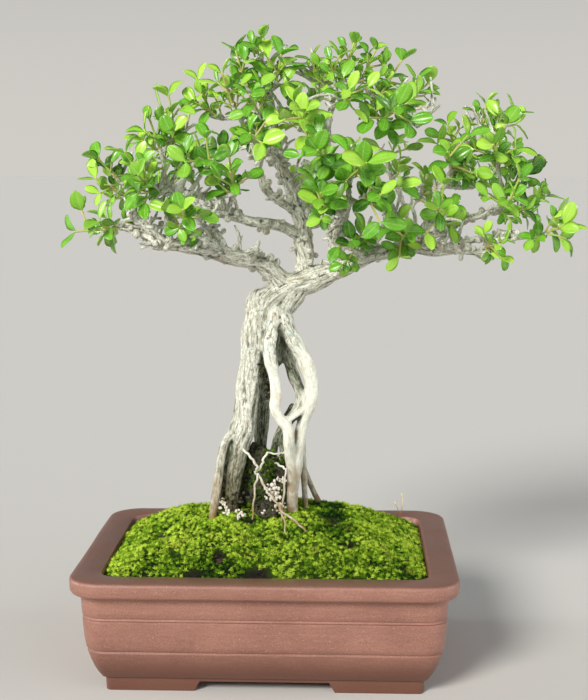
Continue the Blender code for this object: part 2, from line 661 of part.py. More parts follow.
def root_cutters(name):
    """The space that the roots and the stone need, for holes with a clear gap."""
    cutters = [new_object(f"{name}_{root[0]}", *limb_mesh(root, GAP)) for root in ROOTS]
    return [*cutters, new_object(f"{name}_stone", *stone_mesh(GAP))]


def build_stone():
    stone = new_object("root_stone", *stone_mesh())
    cutters = [new_object(f"stone_{root[0]}", *limb_mesh(root, GAP)) for root in ROOTS]
    return thin_out(keep_largest(combine(stone, cutters, "DIFFERENCE")), BED_SHARE, BED_STRAY)


# The wood
def samples_along(limb):
    """Points on a limb about every 5 mm, each with its radius, where a twig may start."""
    _, _, first, last, points = limb
    places = [from_pot(*point) for point in points]
    radii = even_radii(first, last, len(points))
    found = []
    for index in range(1, len(places)):
        start, end = places[index - 1], places[index]
        count = max(1, round((end - start).length / (5 * MM)))
        for step in range(1, count + 1):
            share = step / count
            found.append((start.lerp(end, share), radii[index - 1] + (radii[index] - radii[index - 1]) * share))
    return found


def curve_points(start, start_pull, end, end_pull, count):
    """Points of a cubic curve between two places, with the given pulls at its ends."""
    first, second = start + start_pull, end - end_pull
    points = []
    for step in range(count + 1):
        t = step / count
        u = 1 - t
        points.append(start * u**3 + first * 3 * u * u * t + second * 3 * u * t * t + end * t**3)
    return points


def twig_targets():
    """Where twigs must lead: each shoot's base and each bare twig's foot, with the way they go on."""
    targets = []
    for name, base, tip, _ in SHOOTS:
        start = from_pot(*base)
        targets.append((name, start, (from_pot(*tip) - start).normalized(), None))
    for number, (foot, tip) in enumerate(BARE_TWIGS):
        start = from_pot(*foot)
        end = from_pot(*tip)
        targets.append((f"bare_{number}", start, (end - start).normalized(), end))
    return targets


def twig_start(skeleton, base, heading):
    """The place on the skeleton from which a twig reaches the base with least length and bend."""

    def cost(sample):
        way = base - sample[0]
        bend = 1 - way.normalized().dot(heading) if way.length > 0 else 0
        return way.length * (1 + 0.35 * bend) + 0.9 * max(0.0, -way.z)

    return min(skeleton, key=cost)


def grow_twigs():
    """Twigs from the limbs to every target, each as (points, radii). Later ones may start on earlier ones."""
    skeleton = [sample for limb in LIMBS[1:] for sample in samples_along(limb)]
    waiting = twig_targets()
    twigs = []
    while waiting:
        waiting.sort(key=lambda target: (twig_start(skeleton, target[1], target[2])[0] - target[1]).length)
        name, base, heading, bare_tip = waiting.pop(0)
        draw = random.Random(f"{SEED} twig {name}")
        start, start_radius = twig_start(skeleton, base, heading)
        before_base = base - heading * 3 * MM
        length = (before_base - start).length
        count = max(2, round(length / TWIG_STEP))
        outward = (before_base - start).normalized() + Vector((0, 0, 0.35))
        points = curve_points(start, outward * length * 0.3, before_base, heading * length * 0.3, count)
        for index in range(1, count):
            points[index] += Vector([draw.uniform(-1, 1) for _ in range(3)]) * 1.1 * MM
        points.append(base)
        base_radius = min(TWIG_BASE_RADIUS, 0.9 * start_radius)
        radii = [base_radius + (TWIG_END_RADIUS - base_radius) * index / (len(points) - 1) for index in range(len(points))]
        if bare_tip:
            points.append(bare_tip)
            radii.append(0.7 * MM)
        twigs.append((points, radii, 5 if length > 25 * MM else 4))
        skeleton.extend((point, radius) for point, radius in list(zip(points, radii))[1:-1])
    return twigs


def grow_stubs(twigs):
    """Short cut stubs along limbs and twigs, where shoots were pruned."""
    draw = random.Random(f"{SEED} stubs")
    stubs = []
    for limb in LIMBS[1:]:
        for place, radius in samples_along(limb)[2:-1]:
            if draw.random() < 0.13:
                way = Vector((draw.uniform(-1, 1), draw.uniform(-1, 0.6), draw.uniform(0.0, 1.2))).normalized()
                reach = radius + draw.uniform(*STUB_LENGTHS)
                stubs.append(([place, place + way * reach], [1.7 * MM, 1.2 * MM], 4))
    for points, radii, _ in twigs:
        for place, radius in list(zip(points, radii))[1:-2]:
            if draw.random() < 0.3:
                way = Vector((draw.uniform(-1, 1), draw.uniform(-1, 1), draw.uniform(-0.2, 1.2))).normalized()
                stubs.append(([place, place + way * draw.uniform(*STUB_LENGTHS)], [1.1 * MM, 0.8 * MM], 4))
    return stubs


def build_wood():
    """Roots, trunk, limbs, twigs and stubs, grown together as one piece."""
    pieces = [new_object(limb[0], *limb_mesh(limb)) for limb in ROOTS + LIMBS[1:]]
    draw = random.Random(f"{SEED} wood")
    twigs = grow_twigs()
    for number, (points, radii, sides) in enumerate(twigs + grow_stubs(twigs)):
        knots = 0.16 if sides > 4 else 0.1
        pieces.append(new_object(f"twig_{number}", *tube_mesh(points, radii, sides, knots, draw)))
    wood = new_object("wood", *limb_mesh(LIMBS[0]))
    return thin_out(keep_largest(combine(wood, pieces, "UNION")), WOOD_SHARE, WOOD_STRAY)


# The leafy shoots
def tree_of(verts, faces):
    return BVHTree.FromPolygons([tuple(vert) for vert in verts], faces, all_triangles=False)


def blade_points(base, heading, up, length, thickness, spare=0.0):
    """The right edge, tip, left edge and raised middle of a leaf, its edges a little turned up."""
    across = up.cross(heading).normalized()
    up = heading.cross(across).normalized()
    half_width = length * BLADE_WIDTH_SHARE / 2 + spare
    cup = 0.05 * length
    droop = 0.10 * length

    def at(along, aside, lift):
        return base + heading * (length + spare) * along + across * aside + up * (lift - droop * along * along)

    left = [at(t, half_width * w, cup * w * w) for t, w in BLADE_OUTLINE]
    right = [at(t, -half_width * w, cup * w * w) for t, w in BLADE_OUTLINE]
    half = thickness / 2 + spare
    return right, at(1, 0, 0), left, at(BLADE_THICKEST, 0, half), at(BLADE_THICKEST, 0, -half)


def blade_mesh(base, heading, up, length, thickness, spare=0.0):
    """A leaf as a thin lens of its own, to find what it would meet. The spare widens it all round."""
    right, tip, left, top, bottom = blade_points(base, heading, up, length, thickness, spare)
    outline = [base, *right, tip, *left[::-1]]
    count = len(outline)
    faces = [(step, (step + 1) % count, count) for step in range(count)]
    faces += [((step + 1) % count, step, count + 1) for step in range(count)]
    return [*outline, top, bottom], faces


def stem_points(base, tip, sway, draw):
    """A green stem from just past the twig's end, straight at first, then bent a little."""
    heading = (tip - base).normalized()
    start = base + heading * GAP
    bent_tip = tip + Vector([draw.uniform(-1, 1) for _ in range(3)]) * sway
    middle = start + heading * (bent_tip - start).length / 2
    return [start, middle, bent_tip]


def along_points(points, distance):
    """The place and heading at a distance along a row of points."""
    for start, end in zip(points, points[1:]):
        length = (end - start).length
        if distance <= length or end == points[-1]:
            return start.lerp(end, min(distance / length, 1)), (end - start).normalized()
        distance -= length
    return points[-1], (points[-1] - points[-2]).normalized()


def leaf_places(axis, length, draw):
    """Opposite pairs along a stem, each turned a quarter from the last: owner, place, heading, spread, turn, size."""
    places = []
    turn = axis["turn"]
    for pair, distance in enumerate(axis["pairs"]):
        spot, heading = along_points(axis["points"], distance)
        share = distance / axis["pairs"][-1]
        spread = math.radians(74 - 30 * share + draw.uniform(-8, 8))
        size = length * draw.uniform(0.82, 1.05)
        for side in (0, math.pi):
            owner = (*axis["owner"], pair, side)
            places.append((owner, spot, heading, spread, turn + side, size * draw.uniform(0.9, 1.08)))
        turn += math.pi / 2
    return places


def turned_side(heading, turn):
    """The direction square to the heading at this turn about it."""
    side = heading.orthogonal().normalized()
    side.rotate(Matrix.Rotation(turn, 3, heading))
    return side


def leaf_frame(heading, spread, turn, outward, sway):
    """Which way a leaf points and which way its face looks."""
    side = turned_side(heading, turn)
    way = (heading * math.cos(spread) + side * math.sin(spread) + Vector((0, 0, 0.12))).normalized()
    up = heading * 0.5 + outward * 0.35 + LIGHT_PULL + sway
    up = up - way * up.dot(way)
    if up.length < 0.2:
        up = side.cross(way)
    return way, up.normalized()


class Taken:
    """The space that is already filled: the wood, and each stem and leaf with the ball around it."""

    def __init__(self, wood):
        verts = [tuple(vert.co) for vert in wood.data.vertices]
        self.wood = BVHTree.FromPolygons(verts, [tuple(face.vertices) for face in wood.data.polygons])
        self.pieces = []

    def add(self, owner, solid):
        verts, faces = solid
        self.pieces.append((owner, *ball_of(verts), tree_of(verts, faces)))

    def meets(self, solid, skipped=lambda owner: False):
        """Whether the solid would cross anything but the pieces of the skipped owners."""
        verts, faces = solid
        tree = tree_of(verts, faces)
        if tree.overlap(self.wood):
            return True
        middle, reach = ball_of(verts)
        for owner, other_middle, other_reach, other_tree in self.pieces:
            if skipped(owner) or (middle - other_middle).length > reach + other_reach:
                continue
            if tree.overlap(other_tree):
                return True
        return False


def ball_of(verts):
    middle = sum(verts, Vector()) / len(verts)
    return middle, max((vert - middle).length for vert in verts)


def pair_distances(length, spacing):
    """Where along a stem its leaf pairs sit, the last one at its tip."""
    pairs = max(1, round(length / spacing))
    return [(length - NODE_HALF) * (pair + 1) / pairs for pair in range(pairs)]


def grow_stems(taken):
    """Every shoot's stem, bent clear of the wood and of the other stems."""
    stems = {}
    for name, base, tip, _ in SHOOTS:
        draw = random.Random(f"{SEED} stem {name}")
        for attempt in range(STEM_TRIES):
            points = stem_points(from_pot(*base), from_pot(*tip), 0.5 * MM * attempt, draw)
            wide = tube_mesh(points, [STEM_RADIUS] + [STEM_RADIUS + GAP] * 2, 4)
            if not taken.meets(wide):
                break
        else:
            print("a stem still crosses:", name)
        length = sum((end - start).length for start, end in zip(points, points[1:]))
        axis = {"owner": (name, 0), "points": points, "radius": STEM_RADIUS, "turn": draw.uniform(0, math.tau)}
        axis["pairs"] = pair_distances(length, MAIN_LEAF_SPACING)
        stems[name] = [axis]
        taken.add((name, 0), wide)
    return stems


def side_stem(taken, main, owner, distance, turn, draw):
    """A side stem that is clear of all else, or None."""
    spot, heading = along_points(main["points"], distance)
    side = turned_side(heading, turn)
    for _ in range(SIDE_TRIES):
        spread = math.radians(draw.uniform(42, 66))
        sway = Vector([draw.uniform(-1, 1) for _ in range(3)]) * 0.25
        way = (heading * math.cos(spread) + side * math.sin(spread) + sway + Vector((0, 0, 0.15))).normalized()
        reach = max(0.52 * main["pairs"][-1], SHORTEST_SIDE) * draw.uniform(0.8, 1.1)
        clear_part = tube_mesh([spot + way * 2 * MM, spot + way * (reach + MM)], [SIDE_RADIUS + GAP] * 2, 4)
        if not taken.meets(clear_part, lambda other: other == main["owner"]):
            points = [spot, spot + way * reach]
            taken.add(owner, tube_mesh(points, [SIDE_RADIUS] * 2, 4))
            axis = {"owner": owner, "points": points, "radius": SIDE_RADIUS, "turn": draw.uniform(0, math.tau)}
            axis["pairs"] = pair_distances(reach, SIDE_LEAF_SPACING)
            axis["from"] = (distance, turn)
            return axis
    return None


def grow_side_stems(taken, name, axes):
    """Opposite side stems, two on a short shoot and three on a long one."""
    draw = random.Random(f"{SEED} sides {name}")
    main = axes[0]
    length = main["pairs"][-1]
    turn = draw.uniform(0, math.tau)
    levels = ((0.36, (0, math.pi)),) if length < LONG_SHOOT else ((0.26, (0, math.pi)), (0.70, (0,)))
    for level, sides in levels:
        for side in sides:
            axis = side_stem(taken, main, (name, len(axes)), level * length, turn + side, draw)
            if axis:
                axes.append(axis)
        turn += math.pi / 2


def grow_leaf(taken, place, outward, draw):
    """One leaf, turned and shortened until it is clear, or None: its owner, base, turn, heading, face and length."""
    owner, spot, heading, spread, turn, size = place

    def is_own(other):
        return other[0] == owner[0]

    def is_joined(other):
        return other == owner[:2] or other[:3] == owner[:3]

    for attempt in range(LEAF_TRIES):
        stray = attempt / LEAF_TRIES
        tried_spread = spread + draw.uniform(-0.8, 0.5) * stray
        tried_turn = turn + draw.uniform(-0.8, 0.8) * stray
        sway = Vector([draw.uniform(-1, 1) for _ in range(3)]) * LEAF_SWAY
        way, up = leaf_frame(heading, tried_spread, tried_turn, outward, sway)
        reach = size * (1 - 0.45 * stray)
        free_part = blade_mesh(spot + way * LEAF_FREE, way, up, reach - LEAF_FREE, LEAF_THICKNESS, LEAF_SPARE)
        whole = blade_mesh(spot, way, up, reach, LEAF_THICKNESS, LEAF_SPARE)
        if not taken.meets(free_part, is_joined) and not taken.meets(whole, is_own):
            taken.add(owner, blade_mesh(spot, way, up, reach, LEAF_THICKNESS))
            return {"owner": owner, "spot": spot, "turn": turn, "way": way, "up": up, "reach": reach}
    return None


def grow_shoots(wood):
    """Each shoot's stems and its leaves."""
    taken = Taken(wood)
    stems = grow_stems(taken)
    for name, axes in stems.items():
        grow_side_stems(taken, name, axes)
    crown_middle = from_pot(*CROWN_MIDDLE)
    shoots = {}
    for name, _, _, length in SHOOTS:
        draw = random.Random(f"{SEED} leaves {name}")
        leaves = []
        for axis in stems[name]:
            outward = (axis["points"][-1] - crown_middle).normalized()
            for place in leaf_places(axis, length * MM, draw):
                leaves.append(grow_leaf(taken, place, outward, draw))
        shoots[name] = (stems[name], [leaf for leaf in leaves if leaf])
    return shoots


class ShootMesh:
    """A shoot in one skin: square stems, whose sides open into leaves and side stems."""

    def __init__(self):
        self.verts = []
        self.faces = []

    def ring(self, centre, ahead, turn, radius):
        """Four corners round a place. The side between corners 0 and 1 faces the turn."""
        ring = []
        for quarter in range(4):
            spoke = turned_side(ahead, turn + math.pi / 2 * (quarter - 0.5))
            self.verts.append(centre + spoke * radius)
            ring.append(len(self.verts) - 1)
        return ring

    def walls(self, low, high):
        return [(low[step], low[(step + 1) % 4], high[(step + 1) % 4], high[step]) for step in range(4)]

    def leaf(self, wall, leaf):
        """Open a wall into a leaf. The wall's corners go to the leaf's foot with the least twist."""
        thickness = LEAF_THICKNESS
        right, tip, left, top, _ = blade_points(leaf["spot"], leaf["way"], leaf["up"], leaf["reach"], thickness)
        middle = sum((self.verts[corner] for corner in wall), Vector()) / 4
        across = leaf["up"].cross(leaf["way"])
        wanted = [-across - leaf["up"], across - leaf["up"], across + leaf["up"], -across + leaf["up"]]

        def fit(shift):
            return sum((self.verts[wall[(step + shift) % 4]] - middle).dot(wanted[step]) for step in range(4))

        shift = max(range(4), key=fit)
        low_right, low_left, high_left, high_right = [wall[(step + shift) % 4] for step in range(4)]
        start = len(self.verts)
        self.verts += [*right, tip, *left[::-1], top]
        edge = list(range(start, start + len(right) * 2 + 1))
        peak = len(self.verts) - 1
        upper = [high_right, *edge, high_left]
        self.faces += [(first, second, peak) for first, second in zip(upper, upper[1:])]
        self.faces.append((high_left, high_right, peak))
        self.faces.append((low_right, edge[0], high_right))
        self.faces.append((low_left, high_left, edge[-1]))
        lower = [low_right, *edge, low_left]
        self.faces += [(lower[0], second, first) for first, second in zip(lower[1:], lower[2:])]

    def grow(self, axis, ring, turn, branches, leaves):
        """Run a stem on from a ring, opening its walls wherever something grows from it."""
        stops = [(distance, number, None) for number, distance in enumerate(axis["pairs"])]
        stops += [(branch["from"][0], None, branch) for branch in branches]
        stops.sort(key=lambda stop: stop[0])
        for index, (distance, pair, branch) in enumerate(stops):
            if pair is None and index and stops[index - 1][0] == distance:
                continue
            spot, ahead = along_points(axis["points"], distance)
            here = [other for stop_distance, _, other in stops if other and stop_distance == distance]
            aim = axis["turn"] + pair * math.pi / 2 if pair is not None else here[0]["from"][1]
            quarters = round((aim - turn) / (math.pi / 2))
            turn = aim - quarters * math.pi / 2
            radius = axis["radius"] * (1 - 0.2 * distance / axis["pairs"][-1])
            low = self.ring(spot - ahead * NODE_HALF, ahead, turn, radius)
            high = self.ring(spot + ahead * NODE_HALF, ahead, turn, radius)
            self.faces += self.walls(ring, low)
            node = self.walls(low, high)
            for step in range(4):
                opposite = (step - quarters) % 4 == 2
                if (step - quarters) % 2:
                    self.faces.append(node[step])
                elif pair is not None:
                    key = (*axis["owner"], pair, math.pi if opposite else 0)
                    found = [leaf for leaf in leaves if leaf["owner"] == key]
                    if found:
                        self.leaf(node[step], found[0])
                    else:
                        self.faces.append(node[step])
                else:
                    found = [b for b in here if (abs(b["from"][1] - aim) > 1) == opposite]
                    if found:
                        self.branch(node[step], found[0], leaves)
                    else:
                        self.faces.append(node[step])
            ring = high
        self.faces.append(tuple(ring))

    def branch(self, wall, axis, leaves):
        """Open a wall into a side stem, whose own ring is turned to match the wall."""
        ahead = (axis["points"][-1] - axis["points"][0]).normalized()
        middle = sum((self.verts[corner] for corner in wall), Vector()) / 4
        first_side = (self.verts[wall[0]] + self.verts[wall[1]]) / 2 - middle
        first_side -= ahead * first_side.dot(ahead)
        zero = turned_side(ahead, 0)
        turn = math.atan2(zero.cross(first_side).dot(ahead), zero.dot(first_side))
        self.grow(axis, list(wall), turn, [], leaves)


def build_shoots(wood):
    solids = []
    for name, (axes, leaves) in grow_shoots(wood).items():
        shoot = ShootMesh()
        main = axes[0]
        ahead = (main["points"][1] - main["points"][0]).normalized()
        start = shoot.ring(main["points"][0], ahead, main["turn"], STEM_RADIUS)
        shoot.faces.append(tuple(reversed(start)))
        shoot.grow(main, start, main["turn"], axes[1:], leaves)
        solids.append(new_object(f"shoot_{name}", shoot.verts, shoot.faces))
    return solids


def main():
    clear_scene()
    finish(build_pot(), material("brown_stoneware", (0.13, 0.062, 0.05), 0.62), 32)
    for name, centre in zip(("drain_screen_left", "drain_screen_right"), drain_centres()):
        finish(build_screen(name, centre), material(name, (0.02, 0.02, 0.02), 0.6))
    finish(build_soil(), material("potting_soil", (0.045, 0.028, 0.018), 0.95))
    finish(build_moss(), material("cushion_moss", (0.12, 0.26, 0.02), 0.9))
    finish(build_stone(), material("dark_stone", (0.06, 0.055, 0.05), 0.85))
    wood = finish(build_wood(), material("pale_bark", (0.50, 0.47, 0.40), 0.75), 60)
    greens = (
        material("young_leaf", (0.16, 0.42, 0.03), 0.35),
        material("grown_leaf", (0.05, 0.21, 0.03), 0.3),
    )
    for number, shoot in enumerate(build_shoots(wood)):
        finish(shoot, greens[number % 2], 30)


main()
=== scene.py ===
"""The look of a premna bonsai in an oblong brown stoneware pot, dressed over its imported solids.

Metres, +Z up, the viewer's side at -Y. The lists of roots, limbs and shoots are in
millimetres, measured from the middle of the pot's foot, as in the solids.
"""

import json
import math
import random

import bpy
import numpy as np
from mathutils import Matrix, Vector, noise
from mathutils.bvhtree import BVHTree

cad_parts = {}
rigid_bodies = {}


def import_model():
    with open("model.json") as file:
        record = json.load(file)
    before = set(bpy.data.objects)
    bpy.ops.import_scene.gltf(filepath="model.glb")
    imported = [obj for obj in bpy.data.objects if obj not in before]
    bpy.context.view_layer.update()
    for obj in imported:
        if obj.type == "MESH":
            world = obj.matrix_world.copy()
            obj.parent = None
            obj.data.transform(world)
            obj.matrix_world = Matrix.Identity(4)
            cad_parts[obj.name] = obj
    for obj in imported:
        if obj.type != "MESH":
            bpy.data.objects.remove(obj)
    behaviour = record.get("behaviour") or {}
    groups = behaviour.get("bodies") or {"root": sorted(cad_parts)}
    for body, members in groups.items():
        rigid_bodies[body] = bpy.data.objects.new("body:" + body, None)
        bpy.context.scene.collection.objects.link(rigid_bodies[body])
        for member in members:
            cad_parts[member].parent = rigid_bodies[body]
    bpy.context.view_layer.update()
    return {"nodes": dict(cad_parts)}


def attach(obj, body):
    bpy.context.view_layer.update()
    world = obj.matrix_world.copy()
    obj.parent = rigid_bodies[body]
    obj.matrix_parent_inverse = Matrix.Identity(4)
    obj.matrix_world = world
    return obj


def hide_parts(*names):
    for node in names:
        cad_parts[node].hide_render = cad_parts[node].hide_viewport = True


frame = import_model()

MM = 0.001
GAP = 0.3 * MM
SEED = 7

# Kinds of node and sockets that recur
NOISE = "ShaderNodeTexNoise"
NOISE_SOCKETS = ("Vector", "Scale", "Detail", "Roughness")
CELLS = "ShaderNodeTexVoronoi"
VALUES = "ShaderNodeAttribute"
AXES = "ShaderNodeSeparateXYZ"
MATH = "ShaderNodeMath"
VECTORS = "ShaderNodeVectorMath"
MIX = "ShaderNodeMix"
SPECULAR = "Specular IOR Level"
RANGE = "ShaderNodeMapRange"
SOFT = {"interpolation_type": "SMOOTHSTEP"}

# The camera, measured from the middle of the pot's foot
CAMERA_PLACE = (54.1, -979.3, 351.0)
CAMERA_AIM = Vector((-0.0376, 0.990, -0.1336))
CAMERA_LENS_MM = 72.0
SENSOR_MM = 36.0
FLOOR_REACH = 30
# Far lights: name, azimuth, height and width in degrees, power, colour
LIGHTS = (
    ("key_left", -30, 31, 20, 3.4, "#fffcf6"), ("fill_right", 48, 24, 50, 0.6, "#f4f8ff"),
    ("edge_left", -96, 9, 16, 1.2, "#ffffff"), ("edge_right", 92, 9, 16, 1.0, "#ffffff"),
)

# The pot
FOOT_DROP = 2.3 * MM
POT_CENTRE = Vector((-37.4, 0.4, 2.3)) * MM
POT_WIDTH = 260 * MM
POT_DEPTH = 205 * MM
POT_CORNER_RADIUS = 24 * MM
SMALLEST_CORNER = 4 * MM
MOUTH_CORNER_RADIUS = 13 * MM
CORNER_STEPS = 14
SIDE_STEP = 7 * MM
FLOOR_HEIGHT = 16 * MM
# Each point is how far it lies in from the rim's edge, and its height, in mm
POT_OUTSIDE = (
    (20.6, 7.6), (18.3, 10.8), (15.6, 15.2), (13.2, 20.6), (11.0, 27.0), (11.9, 28.2), (10.3, 29.6),
    (9.1, 36.0), (8.3, 48.6), (9.2, 49.6), (8.3, 50.6), (9.1, 51.7), (8.1, 52.8), (7.6, 61.0), (7.0, 64.6),
    (5.4, 66.6), (1.4, 67.6), (0.3, 69.2), (0.1, 75.4), (0.5, 76.9), (1.7, 77.8), (4.8, 78.0),
)
POT_INSIDE = ((17.6, 78.0), (19.4, 77.2), (20.2, 74.8), (22.0, 44.0), (27.5, 16.0))
INNER_WALL_INSET = 20.2 * MM
MOUTH_HALF_WIDTH = POT_WIDTH / 2 - INNER_WALL_INSET
MOUTH_HALF_DEPTH = POT_DEPTH / 2 - INNER_WALL_INSET
MOUTH_SQUARENESS = 9
PROFILE_STEP = 3.5
HAND_WAVER = 0.35 * MM
FOOT_INSET = 22.4 * MM
FOOT_THICKNESS = 13 * MM
FOOT_TOP = 10.5 * MM
FOOT_GAP_HEIGHT = 4.6 * MM
FRONT_GAP_WIDTH = 94 * MM
SIDE_GAP_WIDTH = 62 * MM
GAP_END_SLOPE = 3.5 * MM
DRAIN_RADIUS = 9 * MM
DRAIN_SPACING = 116 * MM

# The soil and the moss over it
MOUND_SHOULDER = 18 * MM
MOUND_HEIGHT = 13 * MM
MOUND_WIDTH = 50 * MM
MOUND_DEPTH = 42 * MM
MOSS_EDGE_HEIGHT = 76.2 * MM
MOSS_LUMP = 2.6 * MM
CUSHION_RISE = 5.4 * MM
CUSHION_COUNT = 230
CARPET_SINK = 3.0 * MM
CARPET_RINGS = 64
SKIRT_DROP = 7 * MM
STARS_IN_FRONT = 8100
STARS_BEHIND = 6000
LEAFLETS = 8
LEAFLET_RADIUS = 0.42 * MM
LEAFLET_LENGTH = 2.3 * MM
# Where the moss has not closed over the soil: x, y and radius
BARE_SPOTS = ((-4, -79, 12), (-48, -79, 8), (55, -52, 9), (-30, -64, 7), (112, -30, 5), (62, -80, 5),
              (-106, -30, 5), (-14, -30, 6), (26, -24, 4))
# Darker moss right of and behind the trunk, and painted shade in the back left corner by the wall: x, y and
# radius
DARK_MOSS_AND_SHADE = ((38, 18, 22), (45, -8, 20), (52, -32, 14), (-100, 70, 22))
# Foot and top of each dry stalk
DRY_STALKS = (((94, 40, 88), (96, 42, 104)), ((92, 40, 88), (91, 36, 99)))

# The stone under the roots
STONE_CENTRE = (-6, 4, 116)
STONE_RADII = (20, 12, 31)
STONE_MOSS_TRIES = 760

# Roots and trunk: name, first and last radius, points
ROOTS = (
    ("outer_left", 3.4, 3.0, ((-11, 4, 254), (-17, 2, 233), (-18, 0, 212), (-21, -2, 194), (-23, -4, 176),
        (-27, -6, 161), (-33, -10, 149), (-37, -18, 120), (-40, -21, 100), (-41, -22, 86))),
    ("main_left", 9.2, 4.4, ((-7, 2, 253), (-10, -2, 237), (-11, -4, 216), (-14, -6, 195), (-15, -8, 178),
        (-17, -8, 163), (-21, -8, 148), (-25, -12, 128), (-27, -15, 108), (-28, -16, 88))),
    ("middle_left", 5.4, 3.4, ((-6, 6, 236), (-10, 4, 204), (-13, 2, 183), (-18, 2, 161), (-23, 0, 146),
        (-29, -4, 129), (-33, -7, 108), (-35, -8, 88))),
    ("back_dark", 6.0, 4.6, ((0, 5, 256), (-2, 11, 238), (-5, 16, 216), (-6, 19, 191), (-7, 20, 165),
        (-9, 19, 135), (-12, 18, 86))),
    ("trunk_right", 4.5, 9.8, ((4, 4, 210), (5, 3, 226), (6, 1, 240), (10, 0, 251), (17, 0, 260))),
    ("middle_light", 4.8, 3.0, ((4, -3, 250), (2, -8, 234), (0, -12, 219), (3, -13, 205), (5, -15, 190),
        (4, -16, 180), (8, -16, 172), (13, -16, 166), (14, -16, 156), (14, -14, 146), (16, -12, 128),
        (15, -12, 108), (15, -12, 86))),
    ("loop", 5.2, 2.5, ((12, 4, 240), (13, 5, 222), (14, 5, 208), (17, 1, 199), (21, -3, 190), (21, -8, 183),
        (18, -12, 177), (14, -15, 172))),
    ("web_left", 4.4, 3.4, ((-28, -4, 150), (-31, -5, 136), (-33, -7, 118), (-34, -8, 100), (-34, -8, 86))),
    ("bridge", 2.4, 2.2, ((14, -16, 172), (20, -14, 176), (27, -8, 180))),
    ("right", 6.6, 3.3, ((8, 0, 256), (10, -2, 241), (17, -4, 226), (25, -5, 211), (29.5, -7, 196),
        (28, -8, 182), (23, -8, 166), (20, -8, 150), (19, -8, 136), (17, -8, 120), (16, -10, 100),
        (16, -10, 86))),
    ("right_fork", 2.6, 2.2, ((23, -5, 162), (23, 0, 143), (24, 2, 126), (25, 4, 104), (26, 5, 86))),
    ("right_low", 2.2, 1.8, ((23, 2, 136), (27, 10, 123), (31, 16, 112), (36, 20, 100), (39, 23, 86))),
    ("back_right", 3.4, 2.8, ((16, -2, 178), (10, 5, 166), (4, 10, 152), (0, 18, 130), (-1, 20, 86))),
    ("back_inner", 3.2, 2.8, ((19, -6, 174), (12, 3, 164), (9, 7, 150), (11, 9, 120), (12, 9, 86))),
)

# How weathered the bark of a root is, and how much green film it carries at its top and at its foot; on the
# roots at the back and deep between the left roots the film is set high partly as painted shade
ROOT_BARK = {
    "outer_left": (0.8, 0.12, 0.25), "main_left": (0.85, 0.14, 0.95), "middle_left": (1.0, 0.6, 1.0),
    "back_dark": (1.0, 0.9, 1.0), "trunk_right": (0.9, 0.2, 0.2), "middle_light": (0.2, 0.0, 0.06),
    "loop": (0.75, 0.5, 0.4), "bridge": (0.2, 0.0, 0.0), "right": (0.22, 0.03, 0.12),
    "right_fork": (0.5, 0.2, 0.5), "right_low": (0.6, 0.3, 0.5), "back_right": (0.95, 0.8, 0.9),
    "back_inner": (0.95, 0.8, 0.9), "web_left": (1.0, 0.95, 1.0),
}
LIMB_BARK = (0.88, 0.05, 0.05)

# Fine pale roots that wander over the stone: radius and points
FINE_ROOTS = (
    (1.0, ((-19, -12, 150), (-12.1, -26, 146.4), (-7.3, -26, 140.1), (-9.4, -26, 136.5), (-6.6, -26, 133.7),
           (-2.4, -26, 125.9), (-1.0, -27, 122.3), (6.6, -31, 115.3), (10.8, -35, 109.6), (17.8, -38, 106.0),
           (25, -42, 101), (28, -43, 96))),
    (0.9, ((-7.4, -25, 137.5), (-4.6, -24, 141.8), (-3.2, -22, 146.1), (-1.1, -20, 148.9), (3.8, -18, 147.6),
           (8, -15, 148), (13, -13, 148))),
    (0.9, ((4, -8, 139), (8.7, -22, 139.8), (12.1, -25, 138.4), (11.4, -26, 130.6), (10.4, -28, 118),
           (10, -31, 106), (9, -33, 94))),
    (0.8, ((-7.2, -27, 135.3), (-8.6, -28, 129.6), (-9.4, -28, 123.9), (-10.1, -29, 116.8), (-11, -30, 104))),
    (0.7, ((8, -33, 112.5), (12, -38, 105), (13, -43, 97))),
)
# Where pumice has gathered between the roots: middle, spread and number of grains
PUMICE_BEDS = (
    ((-32, -20, 112), 3.0, 16), ((-30, -22, 105), 2.4, 9), ((-20, -26, 106), 4.2, 20), 
    ((3, -23, 121), 5.0, 54), ((7, -25, 113), 3.6, 22), ((9, -20, 130), 3.0, 14), ((0, -27, 108), 3.0, 6),
)
# Dark crumbs: a lump of them, beds between the feet of the roots, and the hollow of the trunk
DARK_LUMP = (-1, -22, 108)
DARK_LUMP_RADII = (9, 6, 6)
CRUMB_BEDS = (((0, -20, 108), 6.0, 40), ((-25, -17, 110), 6.0, 40))
HOLLOW = ((-5.4, -7, 223), (-4.1, -7, 216), (-2.9, -8, 209), (-2.0, -8, 202), (-2.7, -7, 195),
          (-1.5, -4, 188))

